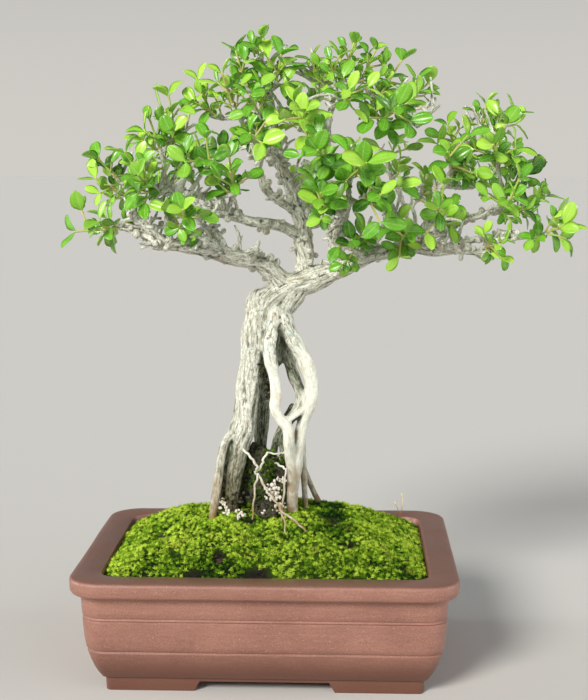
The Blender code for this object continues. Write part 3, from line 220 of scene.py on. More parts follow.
# The limbs of the crown, in the same form
LIMBS = (
    ("hub", 11.2, 8.0, ((-5, 1, 238), (-4, 1, 248), (2, 0, 257), (12, 0, 263), (25, 0, 267), (38, 0, 272))),
    ("low_left", 7.2, 4.2, ((11, 0, 264), (0, -6, 276), (-9, -12, 282), (-17, -18, 284), (-35, -28, 289),
        (-52, -36, 294), (-74, -43, 296))),
    ("low_left_a", 3.4, 1.8, ((-69, -42, 296), (-76, -46, 304), (-83, -48, 311), (-91, -48, 316))),
    ("low_left_b", 2.6, 1.6, ((-64, -41, 296), (-66, -45, 307), (-66, -50, 314))),
    ("low_left_c", 3.2, 1.8, ((-72, -43, 296), (-84, -40, 302), (-92, -38, 305), (-99, -36, 306))),
    ("stub_a", 2.8, 2.2, ((-32, -27, 289), (-37, -38, 296), (-43, -44, 299))),
    ("stub_b", 2.6, 2.0, ((-28, -24, 288), (-34, -20, 301), (-39, -18, 307))),
    ("knob", 4.4, 3.4, ((-14, -15, 283), (-12, -20, 287), (-9, -24, 291))),
    ("leader", 7.2, 5.4, ((23, 2, 268), (24, 6, 284), (23, 6, 297), (22, 6, 309), (17, 8, 319))),
    ("leader_top", 5.0, 1.7, ((18, 8, 317), (14, 10, 331), (8, 10, 348), (4, 10, 366), (2, 8, 383),
        (-2, 4, 400), (-5, 2, 412))),
    ("upper_left", 4.6, 2.8, ((20, 5, 299), (13, 0, 304), (1, -8, 308), (-13, -16, 310), (-25, -22, 314),
        (-36, -28, 317), (-49, -30, 320))),
    ("upper_left_a", 2.5, 1.6, ((-47, -30, 320), (-57, -32, 326), (-67, -34, 332), (-76, -34, 336))),
    ("upper_left_b", 2.5, 1.5, ((-24, -21, 314), (-36, -10, 322), (-52, 0, 328), (-71, 6, 333),
        (-92, 8, 336))),
    ("centre_left", 3.2, 1.6, ((19, 7, 315), (6, 2, 324), (-3, 0, 331), (-7, -2, 345), (-11, -4, 359),
        (-16, -4, 374))),
    ("upright", 5.6, 1.8, ((45, -2, 275), (46, -4, 286), (45, -6, 298), (43, -10, 314), (39, -12, 328),
        (36, -12, 344), (40, -10, 362), (41, -8, 379), (45, -6, 398))),
    ("right_main", 8.2, 2.2, ((24, 0, 266), (36, -2, 271), (50, -4, 277), (66, -8, 285), (81, -12, 289),
        (97, -16, 292), (113, -20, 290), (133, -24, 291), (151, -28, 288))),
    ("right_upper", 3.8, 1.8, ((85, -13, 290), (101, -8, 297), (119, -4, 302), (135, 0, 310), (151, 3, 315),
        (166, 5, 317))),
    ("right_lower", 2.6, 1.6, ((118, -21, 291), (138, -27, 298), (153, -29, 299), (167, -30, 300),
        (184, -30, 301))),
    ("right_back", 3.6, 1.6, ((100, -14, 292), (112, 6, 313), (119, 14, 331), (130, 20, 347),
        (142, 20, 362))),
    ("front_middle", 3.0, 1.7, ((45, -6, 294), (48, -22, 308), (54, -36, 319), (56, -46, 324))),
    ("front_right", 2.8, 1.5, ((96, -16, 292), (104, -28, 302), (110, -36, 310))),
    ("front_top", 2.4, 1.5, ((6, 10, 352), (2, -8, 357), (-2, -22, 362), (-6, -32, 364))),
    ("back_top", 3.0, 1.6, ((14, 10, 331), (8, 26, 342), (2, 42, 350), (-8, 58, 356))),
    ("back_right_limb", 3.4, 1.6, ((64, -7, 284), (74, 12, 296), (84, 30, 306), (96, 48, 316),
        (106, 60, 323))),
    ("back_middle", 3.0, 1.6, ((23, 7, 298), (20, 24, 306), (17, 40, 314), (22, 58, 321))),
    ("back_left", 3.0, 1.5, ((-33, -27, 288), (-40, -6, 298), (-50, 16, 308), (-62, 36, 318),
        (-70, 50, 325))),
)

# Leafy shoots: name, base, tip, length of the largest leaf
SHOOTS = (
    ("far_left", (-101, -36, 306), (-129, -40, 304), 17),
    ("left_low", (-104, 5, 327), (-122, 0, 339), 14),
    ("left_tip", (-106, 0, 338), (-119, -5, 353), 16),
    ("left_middle", (-86, -30, 340), (-94, -42, 357), 15),
    ("left_gloss", (-77, -45, 332), (-82, -66, 342), 17),
    ("left_up", (-75, -10, 359), (-81, -15, 379), 15),
    ("left_crest", (-65, -10, 372), (-68, -15, 395), 17),
    ("left_back", (-64, 25, 359), (-59, 32, 385), 15),
    ("left_front", (-45, -35, 352), (-33, -64, 352), 15),
    ("left_rosette", (-54, -50, 310), (-52, -74, 320), 16),
    ("inner_left", (-21, -40, 331), (-22, -66, 344), 15),
    ("saddle_left", (-41, -5, 385), (-48, -10, 406), 14),
    ("crest_left", (-24, -20, 389), (-30, -30, 409), 14),
    ("crest_middle", (-17, 0, 403), (-23, 0, 426), 14),
    ("apex", (-5, 1, 418), (-4, 0, 435), 15),
    ("apex_right", (5, -10, 404), (9, -18, 422), 19),
    ("apex_front", (-6, -30, 384), (-10, -54, 394), 14),
    ("face_left", (-8, -37, 364), (-9, -66, 369), 15),
    ("centre_dark", (22, -30, 373), (26, -62, 382), 18),
    ("top_small_left", (35, -5, 405), (29, -10, 419), 12),
    ("top_small_right", (45, -15, 406), (42, -26, 418), 12),
    ("top_middle", (53, -4, 414), (58, -4, 431), 12),
    ("top_right_near", (64, 2, 408), (73, 4, 427), 12),
    ("gloss_pair", (52, -20, 389), (55, -54, 397), 15),
    ("top_right_high", (77, 4, 397), (91, 8, 420), 16),
    ("long_leaves", (76, -15, 377), (87, -46, 387), 19),
    ("top_right_side", (94, 14, 390), (110, 20, 405), 16),
    ("centre_up", (42, -45, 349), (35, -78, 358), 15),
    ("middle_rosette", (37, -55, 321), (37, -86, 331), 17),
    ("big_front", (57, -50, 341), (66, -86, 350), 20),
    ("big_low", (66, -50, 324), (75, -86, 330), 19),
    ("under_middle", (57, -34, 293), (57, -60, 300), 16),
    ("under_right", (89, -25, 297), (93, -54, 304), 15),
    ("right_front", (117, -24, 312), (113, -64, 321), 16),
    ("right_inner", (125, -10, 346), (120, -46, 357), 16),
    ("right_saddle", (129, 8, 359), (123, 4, 376), 13),
    ("right_crest", (148, 20, 369), (151, 22, 391), 15),
    ("right_shoulder", (157, 8, 369), (169, 10, 384), 16),
    ("right_face", (157, -5, 350), (150, -42, 362), 17),
    ("right_side", (165, 5, 333), (182, 5, 345), 17),
    ("right_low_front", (157, -22, 320), (163, -54, 328), 15),
    ("right_tip_up", (176, 6, 318), (192, 12, 327), 15),
    ("far_right", (187, -31, 303), (199, -36, 309), 17),
    ("under_far_right", (147, -32, 294), (154, -56, 297), 12),
    ("back_left_low", (-74, 52, 328), (-84, 72, 338), 15),
    ("back_left_high", (-52, 46, 345), (-58, 66, 361), 15),
    ("back_crest", (-10, 61, 360), (-13, 84, 371), 15),
    ("back_low", (24, 61, 325), (27, 88, 333), 15),
    ("back_high", (32, 34, 390), (35, 54, 405), 15),
    ("back_right_low", (109, 63, 327), (117, 86, 337), 15),
    ("back_right_high", (84, 48, 352), (90, 72, 364), 16),
    ("back_right_side", (146, 38, 334), (160, 58, 345), 15),
)

# Bare twigs past the leaves: foot and tip
BARE_TWIGS = (
    ((113, 8, 391), (111, 6, 408)), ((104, 0, 377), (117, -4, 389)), ((41, -12, 358), (22, -14, 383)),
    ((9, -8, 387), (0, -10, 401)), ((24, -4, 409), (8, -6, 416)), ((153, -4, 371), (148, -6, 385)),
    ((-59, -30, 306), (-66, -34, 318)), ((130, -18, 300), (134, -24, 318)), ((88, -6, 318), (92, -12, 336)),
)

# How twigs and leaves grow: the same values as in the solids, so that they grow in the same places
TWIG_STEP = 13 * MM
TWIG_BASE_RADIUS = 1.9 * MM
TWIG_END_RADIUS = 1.15 * MM
STEM_RADIUS = 0.95 * MM
SIDE_RADIUS = 0.85 * MM
SHORTEST_SIDE = 11 * MM
LONG_SHOOT = 27 * MM
MAIN_LEAF_SPACING = 12 * MM
SIDE_LEAF_SPACING = 24 * MM
LEAF_THICKNESS = 1.2 * MM
LEAF_TRIES = 26
STEM_TRIES = 40
SIDE_TRIES = 12
NODE_HALF = 0.65 * MM
LEAF_FREE = 1.8 * MM
LEAF_SPARE = 0.55 * MM
CROWN_MIDDLE = (30, 0, 320)
COMPANIONS = 5
COMPANION_TRIES = 9
LIGHT_PULL = Vector((0, -0.4, 0.5))
LEAF_SWAY = 0.4
BLADE_OUTLINE = ((0.38, 0.86), (0.78, 0.94))
BLADE_WIDTH_SHARE = 0.66
BLADE_THICKEST = 0.40

# The finer build of wood, stems and leaves
WOOD_STEP = 2.2 * MM
WOOD_VOXEL = 0.85 * MM
WOOD_FACE_LIMIT = 174000
STRAND_SIZE = 2.5 * MM
FIBRE_SIZE = 1.2 * MM
LUMP_SIZE = 7.5 * MM
KNOB_SIZE = 4.2 * MM
PIT_SIZE = 2.4 * MM
LIMB_SIDES = 14
TWIG_SIDES = 8
STUB_SIDES = 7
THIN_SIDES = 6
STEM_SIDES = 7
STUB_CHANCE = 0.62
# Rows and columns of the stone, of the lump of crumbs and of one grain
STONE_GRID = (54, 72)
LUMP_GRID = (16, 24)
GRAIN_GRID = (6, 8)
# Heights over the table between which the bark turns from trunk to crown
CROWN_FOOT = 0.272
CROWN_BLEND = 0.03
# The trunk's knotted neck, where its roots part
NECK = (6, -4, 225)
NECK_RADII = (17, 17, 28)
# Rays and reach that measure how far the wood closes each vert in, for the painted shade in its hollows
SHADE_RAYS = 7
SHADE_REACH = 0.030
SMOOTHING_TURNS = 4
DEAD_TWIGS = 150
TRUE_LEAF_THICKNESS = 0.34 * MM
# Along the leaf, and its half width there as a share of the widest
LEAF_ROWS = (
    (0.0, 0.06), (0.07, 0.07), (0.17, 0.40), (0.30, 0.74), (0.45, 0.94),
    (0.60, 1.0), (0.74, 0.93), (0.86, 0.74), (0.95, 0.43), (1.0, 0.0),
)
LEAF_COLUMNS = (-1.0, -0.52, 0.0, 0.52, 1.0)


def from_pot(x, y, z):
    """A point given in millimetres from the middle of the pot's foot."""
    return POT_CENTRE + Vector((x, y, z)) * MM


def linear(code):
    """The linear colour of an sRGB hex code."""
    channels = [int(code[start:start + 2], 16) / 255 for start in (1, 3, 5)]
    return (*[c / 12.92 if c <= 0.04045 else ((c + 0.055) / 1.055) ** 2.4 for c in channels], 1.0)


def per(size_mm):
    """How often a pattern of this size repeats in a metre."""
    return 1000.0 / size_mm


# Materials
def add(tree, kind, sockets=None, **settings):
    """Add a node. Each socket's entry is a value for it, or another node's output that is linked to it."""
    node = tree.nodes.new(kind)
    for name, value in settings.items():
        setattr(node, name, value)
    for socket, value in (sockets or {}).items():
        if isinstance(value, bpy.types.NodeSocket):
            tree.links.new(value, node.inputs[socket])
        else:
            node.inputs[socket].default_value = value
    return node


def new_material(name, constants):
    """A material with its constant values, its node tree, and the place on the object."""
    made = bpy.data.materials.new(name)
    made.use_nodes = True
    tree = made.node_tree
    for socket, value in constants.items():
        tree.nodes["Principled BSDF"].inputs[socket].default_value = value
    return made, tree, add(tree, "ShaderNodeTexCoord").outputs["Object"]


def laid_over(tree, under, over, value, low, high, most=1.0, least=0.0, times=None):
    """The under colour, covered by the other to its most share where the value comes to high."""
    share = add(tree, RANGE, {0: value, 1: low, 2: high, 3: least, 4: most}, **SOFT).outputs["Result"]
    if times is not None:
        share = add(tree, MATH, {0: share, 1: times}, operation="MULTIPLY").outputs[0]
    under, over = [linear(colour) if isinstance(colour, str) else colour for colour in (under, over)]
    return add(tree, MIX, {0: share, 6: under, 7: over}, data_type="RGBA").outputs[2]


def coated(tree, colour, *coats):
    """The colour under all of its coats."""
    for coat in coats:
        colour = laid_over(tree, colour, *coat)
    return colour


def surfaced(made, colour, relief=None, strength=0.0, depth=0.0, rough=None):
    """The material with its colour, and a relief of this depth in mm and a roughness if it has them."""
    tree = made.node_tree
    shader = tree.nodes["Principled BSDF"]
    tree.links.new(colour, shader.inputs["Base Color"])
    if rough is not None:
        roughness = add(tree, RANGE, dict(enumerate(rough)), **SOFT).outputs["Result"]
        tree.links.new(roughness, shader.inputs["Roughness"])
    if relief is not None:
        bump = add(tree, "ShaderNodeBump", {"Height": relief, "Strength": strength, "Distance": depth * MM})
        tree.links.new(bump.outputs["Normal"], shader.inputs["Normal"])
    return made


def stoneware():
    """Unglazed brown stoneware, wiped smooth while leathery: dull, faintly warm, with fine sandy specks, and
    painted shade that darkens the lower body towards the foot and the flat top of the rim.
    """
    made, tree, place = new_material("unglazed_stoneware", {"IOR": 1.5, SPECULAR: 0.5})
    height = add(tree, AXES, {0: place}).outputs["Z"]
    wall = add(tree, VECTORS, {0: place, 1: (0.12, 0.12, 1.0)}, operation="MULTIPLY").outputs[0]
    clouds, wiping, grit = [
        add(tree, NOISE, dict(zip(NOISE_SOCKETS, row))).outputs[0]
        for row in ((place, per(45), 3.0, 0.5), (wall, per(1.5), 4.0, 0.6), (place, per(0.9), 3.0, 0.7))]
    specks = add(tree, CELLS, {"Vector": place, "Scale": per(5.0)}).outputs["Distance"]
    colour = coated(
        tree, "#8d6154", ("#9b6d5e", clouds, 0.3, 0.7),
        ("#74503f", wiping, 0.46, 0.74, 0.3), ("#b08573", wiping, 0.46, 0.30, 0.22),
        ("#6b483b", grit, 0.48, 0.28, 0.5), ("#c09482", grit, 0.52, 0.74, 0.55),
        ("#cdb0a0", specks, 0.09, 0.05, 0.5),
        # Painted shade: darker towards the foot below about 36 mm, and darker on the flat top of the rim
        # above about 79 mm.
        ("#613c2d", height, 0.036, 0.013, 0.86), ("#5e4439", height, 0.0792, 0.0802, 0.55))
    relief = add(tree, MATH, {0: wiping, 1: grit}, operation="ADD").outputs[0]
    return surfaced(made, colour, relief, 0.45, 0.3, (clouds, 0.3, 0.7, 0.38, 0.5))


def bark():
    """Old premna bark: cream-white and smooth where young, fissured where old, with a green film that also
    carries painted shade in hollows and on the back of the roots, and painted shade in its grooves.
    """
    made, tree, place = new_material("fibrous_bark", {"IOR": 1.45, SPECULAR: 0.25})
    grain = add(tree, VALUES, attribute_name="grain").outputs["Vector"]
    state = add(tree, VALUES, attribute_name="state").outputs["Vector"]
    crack = add(tree, VALUES, attribute_name="crack").outputs["Fac"]
    # The film share holds the real green film together with painted shade in hollows and on the back of the
    # roots.
    age, film, lichen = add(tree, AXES, {0: state}).outputs
    along = add(tree, VECTORS, {0: grain, 1: (1.0, 1.0, 0.22)}, operation="MULTIPLY").outputs[0]
    fibre, strand, patch, cloud, pits = [
        add(tree, NOISE, dict(zip(NOISE_SOCKETS, row))).outputs[0]
        for row in ((along, per(1.0), 5.0, 0.62), (along, per(2.6), 3.0, 0.6), (place, per(14), 4.0, 0.6),
                    (place, per(9), 5.0, 0.65), (place, per(1.4), 3.0, 0.7))]
    height = add(tree, AXES, {0: place}).outputs["Z"]
    low = add(tree, RANGE, {0: height, 1: 0.165, 2: 0.100}, **SOFT).outputs["Result"]
    dull = add(tree, MIX, {0: age, 6: linear("#dcdccb"), 7: linear("#a9a690")}, data_type="RGBA").outputs[2]
    mossy, muddy = [coated(tree, dark, (light, fibre, 0.4, 0.62))
                    for dark, light in (("#34382a", "#8a9178"), ("#252010", "#6f6643"))]
    green = add(tree, MIX, {0: low, 6: mossy, 7: muddy}, data_type="RGBA").outputs[2]
    colour = coated(
        tree, dull, ("#ebece0", fibre, 0.34, 0.58), ("#c9a982", patch, 0.56, 0.72, 0.5),
        ("#aecac9", cloud, 0.52, 0.66, 1.0, 0.0, lichen), ("#6f6d4f", strand, 0.50, 0.33, 0.75, 0.0, age),
        # Partly painted shade: the crack layer darkens cracks, and on the trunk the grooves pressed into the
        # wood.
        ("#3f3d2b", pits, 0.45, 0.32, 0.9, 0.0, age), ("#2b2a1c", crack, 0.55, 0.92, 0.95, 0.0, age),
        # The green film layer, partly painted shade where the film share carries it.
        ("#93703f", patch, 0.34, 0.58, 0.95, 0.25, low), (green, cloud, 0.3, 0.52, 1.0, 0.55, film))
    relief = add(tree, MATH, {0: fibre, 1: pits}, operation="ADD").outputs[0]
    aged = add(tree, MATH, {0: relief, 1: age}, operation="MULTIPLY").outputs[0]
    return surfaced(made, colour, aged, 0.9, 0.5, (fibre, 0.3, 0.7, 0.9, 0.7))


def leaf_blade():
    """A living leathery leaf: waxy and bright on top, paler below, with a faint midrib and side veins."""
    made, tree, place = new_material("waxy_leaf", {"IOR": 1.45, SPECULAR: 0.65})
    blade = add(tree, VALUES, attribute_name="blade").outputs["Vector"]
    under = add(tree, VALUES, attribute_name="under").outputs["Fac"]
    along, aside, tone = add(tree, AXES, {0: blade}).outputs
    mottle = add(tree, NOISE, {"Vector": place, "Scale": per(5), "Detail": 3.0}).outputs["Fac"]
    off_middle = add(tree, MATH, {0: aside}, operation="ABSOLUTE").outputs[0]
    slant = add(tree, MATH, {0: off_middle, 1: -0.28, 2: along}, operation="MULTIPLY_ADD").outputs[0]
    turns = add(tree, MATH, {0: slant, 1: 44.0}, operation="MULTIPLY").outputs[0]
    vein = add(tree, MATH, {0: turns}, operation="SINE").outputs[0]
    colour = coated(
        tree, "#23600c", ("#62a81e", tone, 0.0, 0.5), ("#b0de4a", tone, 0.5, 1.0),
        ("#8cca3e", mottle, 0.4, 0.7, 0.3), ("#b7dd84", vein, 0.7, 1.0, 0.12),
        ("#cbe698", off_middle, 0.09, 0.02, 0.28), ("#a3cc66", under, 0.3, 0.9, 0.5))
    return surfaced(made, colour, rough=(mottle, 0.3, 0.7, 0.22, 0.34))


def green_stem():
    """A young soft stem: yellow-green and smooth, turning tan where it hardens."""
    made, tree, place = new_material("green_stem", {"IOR": 1.45, SPECULAR: 0.4, "Roughness": 0.5})
    patch = add(tree, NOISE, {"Vector": place, "Scale": per(9), "Detail": 3.0}).outputs["Fac"]
    fine = add(tree, NOISE, {"Vector": place, "Scale": per(1.2), "Detail": 3.0}).outputs["Fac"]
    colour = coated(tree, "#a9c355", ("#c4b877", patch, 0.4, 0.62), ("#d3cf9a", fine, 0.5, 0.7, 0.35))
    return surfaced(made, colour, fine, 0.3, 0.2)


def moss_green():
    """Living moss: dull leaflets, painted near black at the foot as shade between the shoots and lime at the
    tips, a little drier in places.
    """
    made, tree, place = new_material("living_moss", {"IOR": 1.4, SPECULAR: 0.2, "Roughness": 0.8})
    tuft = add(tree, VALUES, attribute_name="tuft").outputs["Vector"]
    rise, tone, bare = add(tree, AXES, {0: tuft}).outputs
    patch = add(tree, NOISE, {"Vector": place, "Scale": per(20), "Detail": 4.0}).outputs["Fac"]
    crumbs = add(tree, NOISE, dict(zip(NOISE_SOCKETS, (place, per(2.0), 4.0, 0.7)))).outputs[0]
    # Partly painted light: tone is higher on cushion tops and on shoots that stand higher, besides patches
    # and random tone.
    tips = coated(tree, "#1b3f08", ("#73a114", tone, 0.0, 0.5), ("#d4f14e", tone, 0.5, 1.0),
                  ("#b9ab4a", patch, 0.58, 0.76, 0.5))
    # Painted shade: leaflets darken to near black towards their foot, where the shoots shade each other.
    leaflets = coated(tree, "#0d1a04", (tips, rise, 0.1, 0.7))
    earth = coated(tree, "#0d0a08", ("#2e241c", crumbs, 0.4, 0.7))
    return surfaced(made, add(tree, MIX, {0: bare, 6: leaflets, 7: earth}, data_type="RGBA").outputs[2])


def dry_stalk():
    """A dry moss stalk: straw-coloured, reddish at the foot."""
    made, tree, place = new_material("dry_stalk", {"IOR": 1.45, SPECULAR: 0.3, "Roughness": 0.7})
    height = add(tree, AXES, {0: place}).outputs["Z"]
    return surfaced(made, coated(tree, "#8a4a2a", ("#d8c7a0", height, 0.092, 0.104)))


def potting_grit():
    """Moist bonsai soil: dark crumbs with a few paler grains."""
    made, tree, place = new_material("potting_grit", {"IOR": 1.4, SPECULAR: 0.3, "Roughness": 0.85})
    grains = add(tree, CELLS, {"Vector": place, "Scale": per(2.6)})
    crumbs = add(tree, NOISE, {"Vector": place, "Scale": per(5), "Detail": 4.0}).outputs["Fac"]
    pale = add(tree, "ShaderNodeSeparateColor", {0: grains.outputs["Color"]}).outputs["Red"]
    colour = coated(tree, "#1f1712", ("#4b3a2c", crumbs, 0.4, 0.65), ("#8c7c66", pale, 0.86, 0.95, 0.6))
    return surfaced(made, colour, grains.outputs["Distance"], 0.8, 1.0)


def lava_stone():
    """Weathered lava: near black, rough and full of little holes, with a green film in its hollows."""
    made, tree, place = new_material("lava_stone", {"IOR": 1.5, SPECULAR: 0.3, "Roughness": 0.9})
    holes = add(tree, CELLS, {"Vector": place, "Scale": per(2.4)}).outputs["Distance"]
    patch = add(tree, NOISE, dict(zip(NOISE_SOCKETS, (place, per(8), 5.0, 0.65)))).outputs[0]
    colour = coated(tree, "#15130f", ("#4c463b", holes, 0.2, 0.7), ("#3c4a1c", patch, 0.46, 0.62, 0.85))
    return surfaced(made, colour, holes, 0.9, 0.9)


def pumice():
    """Pumice grains: off-white, porous and chalky, a few of them stained by the soil."""
    made, tree, place = new_material("pumice", {"IOR": 1.5, SPECULAR: 0.3, "Roughness": 0.9})
    stain = add(tree, NOISE, {"Vector": place, "Scale": per(6), "Detail": 4.0}).outputs["Fac"]
    pores = add(tree, CELLS, {"Vector": place, "Scale": per(0.8)}).outputs["Distance"]
    colour = coated(tree, "#e4ded0", ("#a58d70", stain, 0.52, 0.7), ("#6d604d", pores, 0.3, 0.1, 0.6))
    return surfaced(made, colour, pores, 0.6, 0.3)


def drain_plastic():
    """Moulded black polyethylene mesh, a little dusty with soil."""
    made, tree, place = new_material("black_plastic_mesh", {"IOR": 1.5, "Roughness": 0.55})
    dust = add(tree, NOISE, {"Vector": place, "Scale": per(3), "Detail": 4.0}).outputs["Fac"]
    return surfaced(made, coated(tree, "#161616", ("#4a4038", dust, 0.5, 0.75, 0.5)))


def studio_floor():
    """A plain pale painted floor, without shine."""
    constants = {"Base Color": linear("#d3d1cc"), "Roughness": 0.9, SPECULAR: 0.1}
    return new_material("pale_floor", constants)[0]


# Meshes
class Skin:
    """A mesh piled up from patches, with named values at its vertices and a finish for each face."""

    def __init__(self):
        self.verts = []
        self.faces = []
        self.finishes = []
        self.values = {}
        self.count = 0

    def add(self, verts, faces, finish=0, **values):
        verts = np.asarray(verts, float).reshape(-1, 3)
        self.verts.append(verts)
        self.faces += [[corner + self.count for corner in face] for face in faces]
        self.finishes += [finish] * len(faces)
        for name, value in values.items():
            value = np.asarray(value, float)
            shape = (len(verts), 3) if value.shape[-1:] == (3,) else (len(verts),)
            self.values.setdefault(name, []).append(np.broadcast_to(value, shape))
        self.count += len(verts)

    def build(self, name, materials, slot, *replaced):
        piece = object_of(name, np.concatenate(self.verts), self.faces, materials, self.finishes)
        for label, parts in self.values.items():
            write_values(piece.data, label, np.concatenate(parts))
        return show(piece, slot, *replaced)


def object_of(name, verts, faces, materials, finishes=None):
    mesh = bpy.data.meshes.new(name)
    mesh.from_pydata(np.asarray(verts).tolist(), [], faces if isinstance(faces, list) else faces.tolist())
    for material in materials:
        mesh.materials.append(material)
    if finishes is not None:
        mesh.polygons.foreach_set("material_index", finishes)
    mesh.update()
    mesh.shade_smooth()
    return bpy.data.objects.new(name, mesh)


def write_values(mesh, label, values):
    kind = "FLOAT_VECTOR" if values.ndim == 2 else "FLOAT"
    attribute = mesh.attributes.new(label, kind, "POINT")
    attribute.data.foreach_set("vector" if values.ndim == 2 else "value", values.astype(np.float32).ravel())


def show(piece, slot, *replaced):
    """Put the piece in the scene, on the one body that there is, standing for the replaced solids."""
    if piece.name not in bpy.context.scene.collection.objects:
        bpy.context.scene.collection.objects.link(piece)
    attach(piece, "root")
    if replaced:
        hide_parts(*replaced)
    return piece


def evaluated_copy(piece):
    """A plain mesh of the piece with its modifiers applied."""
    linked = piece.name in bpy.context.scene.collection.objects
    if not linked:
        bpy.context.scene.collection.objects.link(piece)
    graph = bpy.context.evaluated_depsgraph_get()
    mesh = bpy.data.meshes.new_from_object(piece.evaluated_get(graph))
    piece.modifiers.clear()
    piece.data = mesh
    if not linked:
        bpy.context.scene.collection.objects.unlink(piece)
    return piece


def read(mesh, what):
    """The mesh's values of this name, three at each vert."""
    flat = np.zeros(len(mesh.vertices) * 3, np.float32)
    mesh.vertices.foreach_get(what, flat)
    return flat.reshape(-1, 3).astype(float)


def noise_at(places, size, offset=0.0):
    """Smooth noise from about -1 to 1 at each place, with features of this size in metres."""
    scaled = places / size + offset
    return np.array([noise.noise(Vector(place)) for place in scaled])


# Routes and tubes
def smooth_route(points, radii, step):
    """A smooth curve through the points, with a place every step or so, and the radius at each place."""
    points = np.asarray([tuple(point) for point in points], float)
    padded = np.vstack([2 * points[0] - points[1], points, 2 * points[-1] - points[-2]])
    places, widths = [], []
    for index in range(len(points) - 1):
        before, start, end, after = padded[index:index + 4]
        count = max(1, round(float(np.linalg.norm(end - start)) / step))
        for t in np.arange(count) / count:
            square = (2 * before - 5 * start + 4 * end - after) * t**2
            cube = (3 * start - before - 3 * end + after) * t**3
            places.append(0.5 * (2 * start + (end - before) * t + square + cube))
            widths.append(radii[index] + (radii[index + 1] - radii[index]) * t)
    places.append(points[-1])
    widths.append(radii[-1])
    return np.array(places), np.array(widths)


def unit(vectors):
    return vectors / np.maximum(np.linalg.norm(vectors, axis=-1, keepdims=True), 1e-12)


def route_frames(places):
    """The heading at each place, and a side direction that turns as little as it can."""
    ahead = unit(np.gradient(places, axis=0))
    side = np.array(Vector(ahead[0]).orthogonal().normalized())
    sides = []
    for heading in ahead:
        side = side - heading * side.dot(heading)
        side = side / np.linalg.norm(side)
        sides.append(side)
    return ahead, np.array(sides)


def tube(places, widths, count, rounded=True):
    """A closed tube: its verts and faces, and each vert's place in the wood's grain."""
    ahead, side = route_frames(places)
    if rounded:
        ends = ((0.55, 0.83), (0.88, 0.45))
        places = np.vstack([[places[0] - ahead[0] * widths[0] * out for out, _ in ends[::-1]], places,
                            [places[-1] + ahead[-1] * widths[-1] * out for out, _ in ends]])
        widths = np.concatenate([[widths[0] * share for _, share in ends[::-1]], widths,
                                 [widths[-1] * share for _, share in ends]])
        ahead = np.vstack([ahead[:1], ahead[:1], ahead, ahead[-1:], ahead[-1:]])
        side = np.vstack([side[:1], side[:1], side, side[-1:], side[-1:]])
    up = np.cross(ahead, side)
    angles = math.tau * np.arange(count) / count
    spokes = side[:, None] * np.cos(angles)[None, :, None] + up[:, None] * np.sin(angles)[None, :, None]
    verts = places[:, None] + spokes * widths[:, None, None]
    along = np.concatenate([[0], np.cumsum(np.linalg.norm(np.diff(places, axis=0), axis=1))])
    grain = np.stack([np.cos(angles)[None] * widths[:, None], np.sin(angles)[None] * widths[:, None],
                      np.repeat(along[:, None], count, 1)], axis=2)
    return verts.reshape(-1, 3), capped(len(places), count), grain.reshape(-1, 3)


def capped(rings, count):
    """Faces of a closed solid through rings of this many points: its sides between two end caps."""
    faces = [list(range(count))[::-1]]
    for low in range(0, (rings - 1) * count, count):
        for step in range(count):
            after = (step + 1) % count
            faces.append([low + step, low + after, low + count + after, low + count + step])
    return [*faces, list(range((rings - 1) * count, rings * count))]


def seeded(*words):
    """A source of random numbers that is always the same for the same words."""
    return random.Random(" ".join(str(word) for word in (SEED, *words)))


def any_way(draw):
    """A random way, each of its parts between -1 and 1."""
    return Vector([draw.uniform(-1, 1) for _ in range(3)])


def length_of(points):
    return sum((end - start).length for start, end in zip(points, points[1:]))


def even_radii(first, last, count):
    return [(first + (last - first) * index / (count - 1)) * MM for index in range(count)]


# The pot
def rounded_rectangle(inset, height, smallest=SMALLEST_CORNER):
    """Points of the pot's plan at one height. Its corner arcs shrink as it goes in, down to the smallest."""
    half_width = POT_WIDTH / 2 - inset
    half_depth = POT_DEPTH / 2 - inset
    radius = max(POT_CORNER_RADIUS - inset, smallest)
    corners = []
    for quarter, (sign_x, sign_y) in enumerate(((1, 1), (-1, 1), (-1, -1), (1, -1))):
        centre = Vector((sign_x * (half_width - radius), sign_y * (half_depth - radius), height))
        arc = []
        for step in range(CORNER_STEPS + 1):
            angle = math.pi / 2 * (quarter + step / CORNER_STEPS)
            arc.append(POT_CENTRE + centre + Vector((math.cos(angle), math.sin(angle), 0)) * radius)
        corners.append(arc)
    points = []
    for quarter, arc in enumerate(corners):
        points += arc
        after = corners[(quarter + 1) % 4][0]
        full_side = (POT_WIDTH if quarter % 2 == 0 else POT_DEPTH) - 2 * POT_CORNER_RADIUS
        count = round(full_side / SIDE_STEP)
        points += [arc[-1].lerp(after, step / count) for step in range(1, count)]
    return points


def lofted(rings):
    """A closed solid through the rings, each anticlockwise from above."""
    return [point for ring in rings for point in ring], capped(len(rings), len(rings[0]))


def finer_profile(points):
    """The profile's points with more between those that lie far apart."""
    made = []
    for (inset, height), (next_inset, next_height) in zip(points, points[1:]):
        count = max(1, round(math.dist((inset, height), (next_inset, next_height)) / PROFILE_STEP))
        for step in range(count):
            share = step / count
            made.append((inset + (next_inset - inset) * share, height + (next_height - height) * share))
    return [*made, points[-1]]


def cut(host, cutters):
    """The host with the cutters' space taken away, and the cutters removed."""
    scene_objects = bpy.context.scene.collection.objects
    for obj in [host, *cutters]:
        scene_objects.link(obj)
    for cutter in cutters:
        boolean = host.modifiers.new("Cut", "BOOLEAN")
        boolean.operation = "DIFFERENCE"
        boolean.object = cutter
        boolean.solver = "EXACT"
    bpy.context.view_layer.update()
    evaluated_copy(host)
    scene_objects.unlink(host)
    for cutter in cutters:
        bpy.data.objects.remove(cutter)
    return host


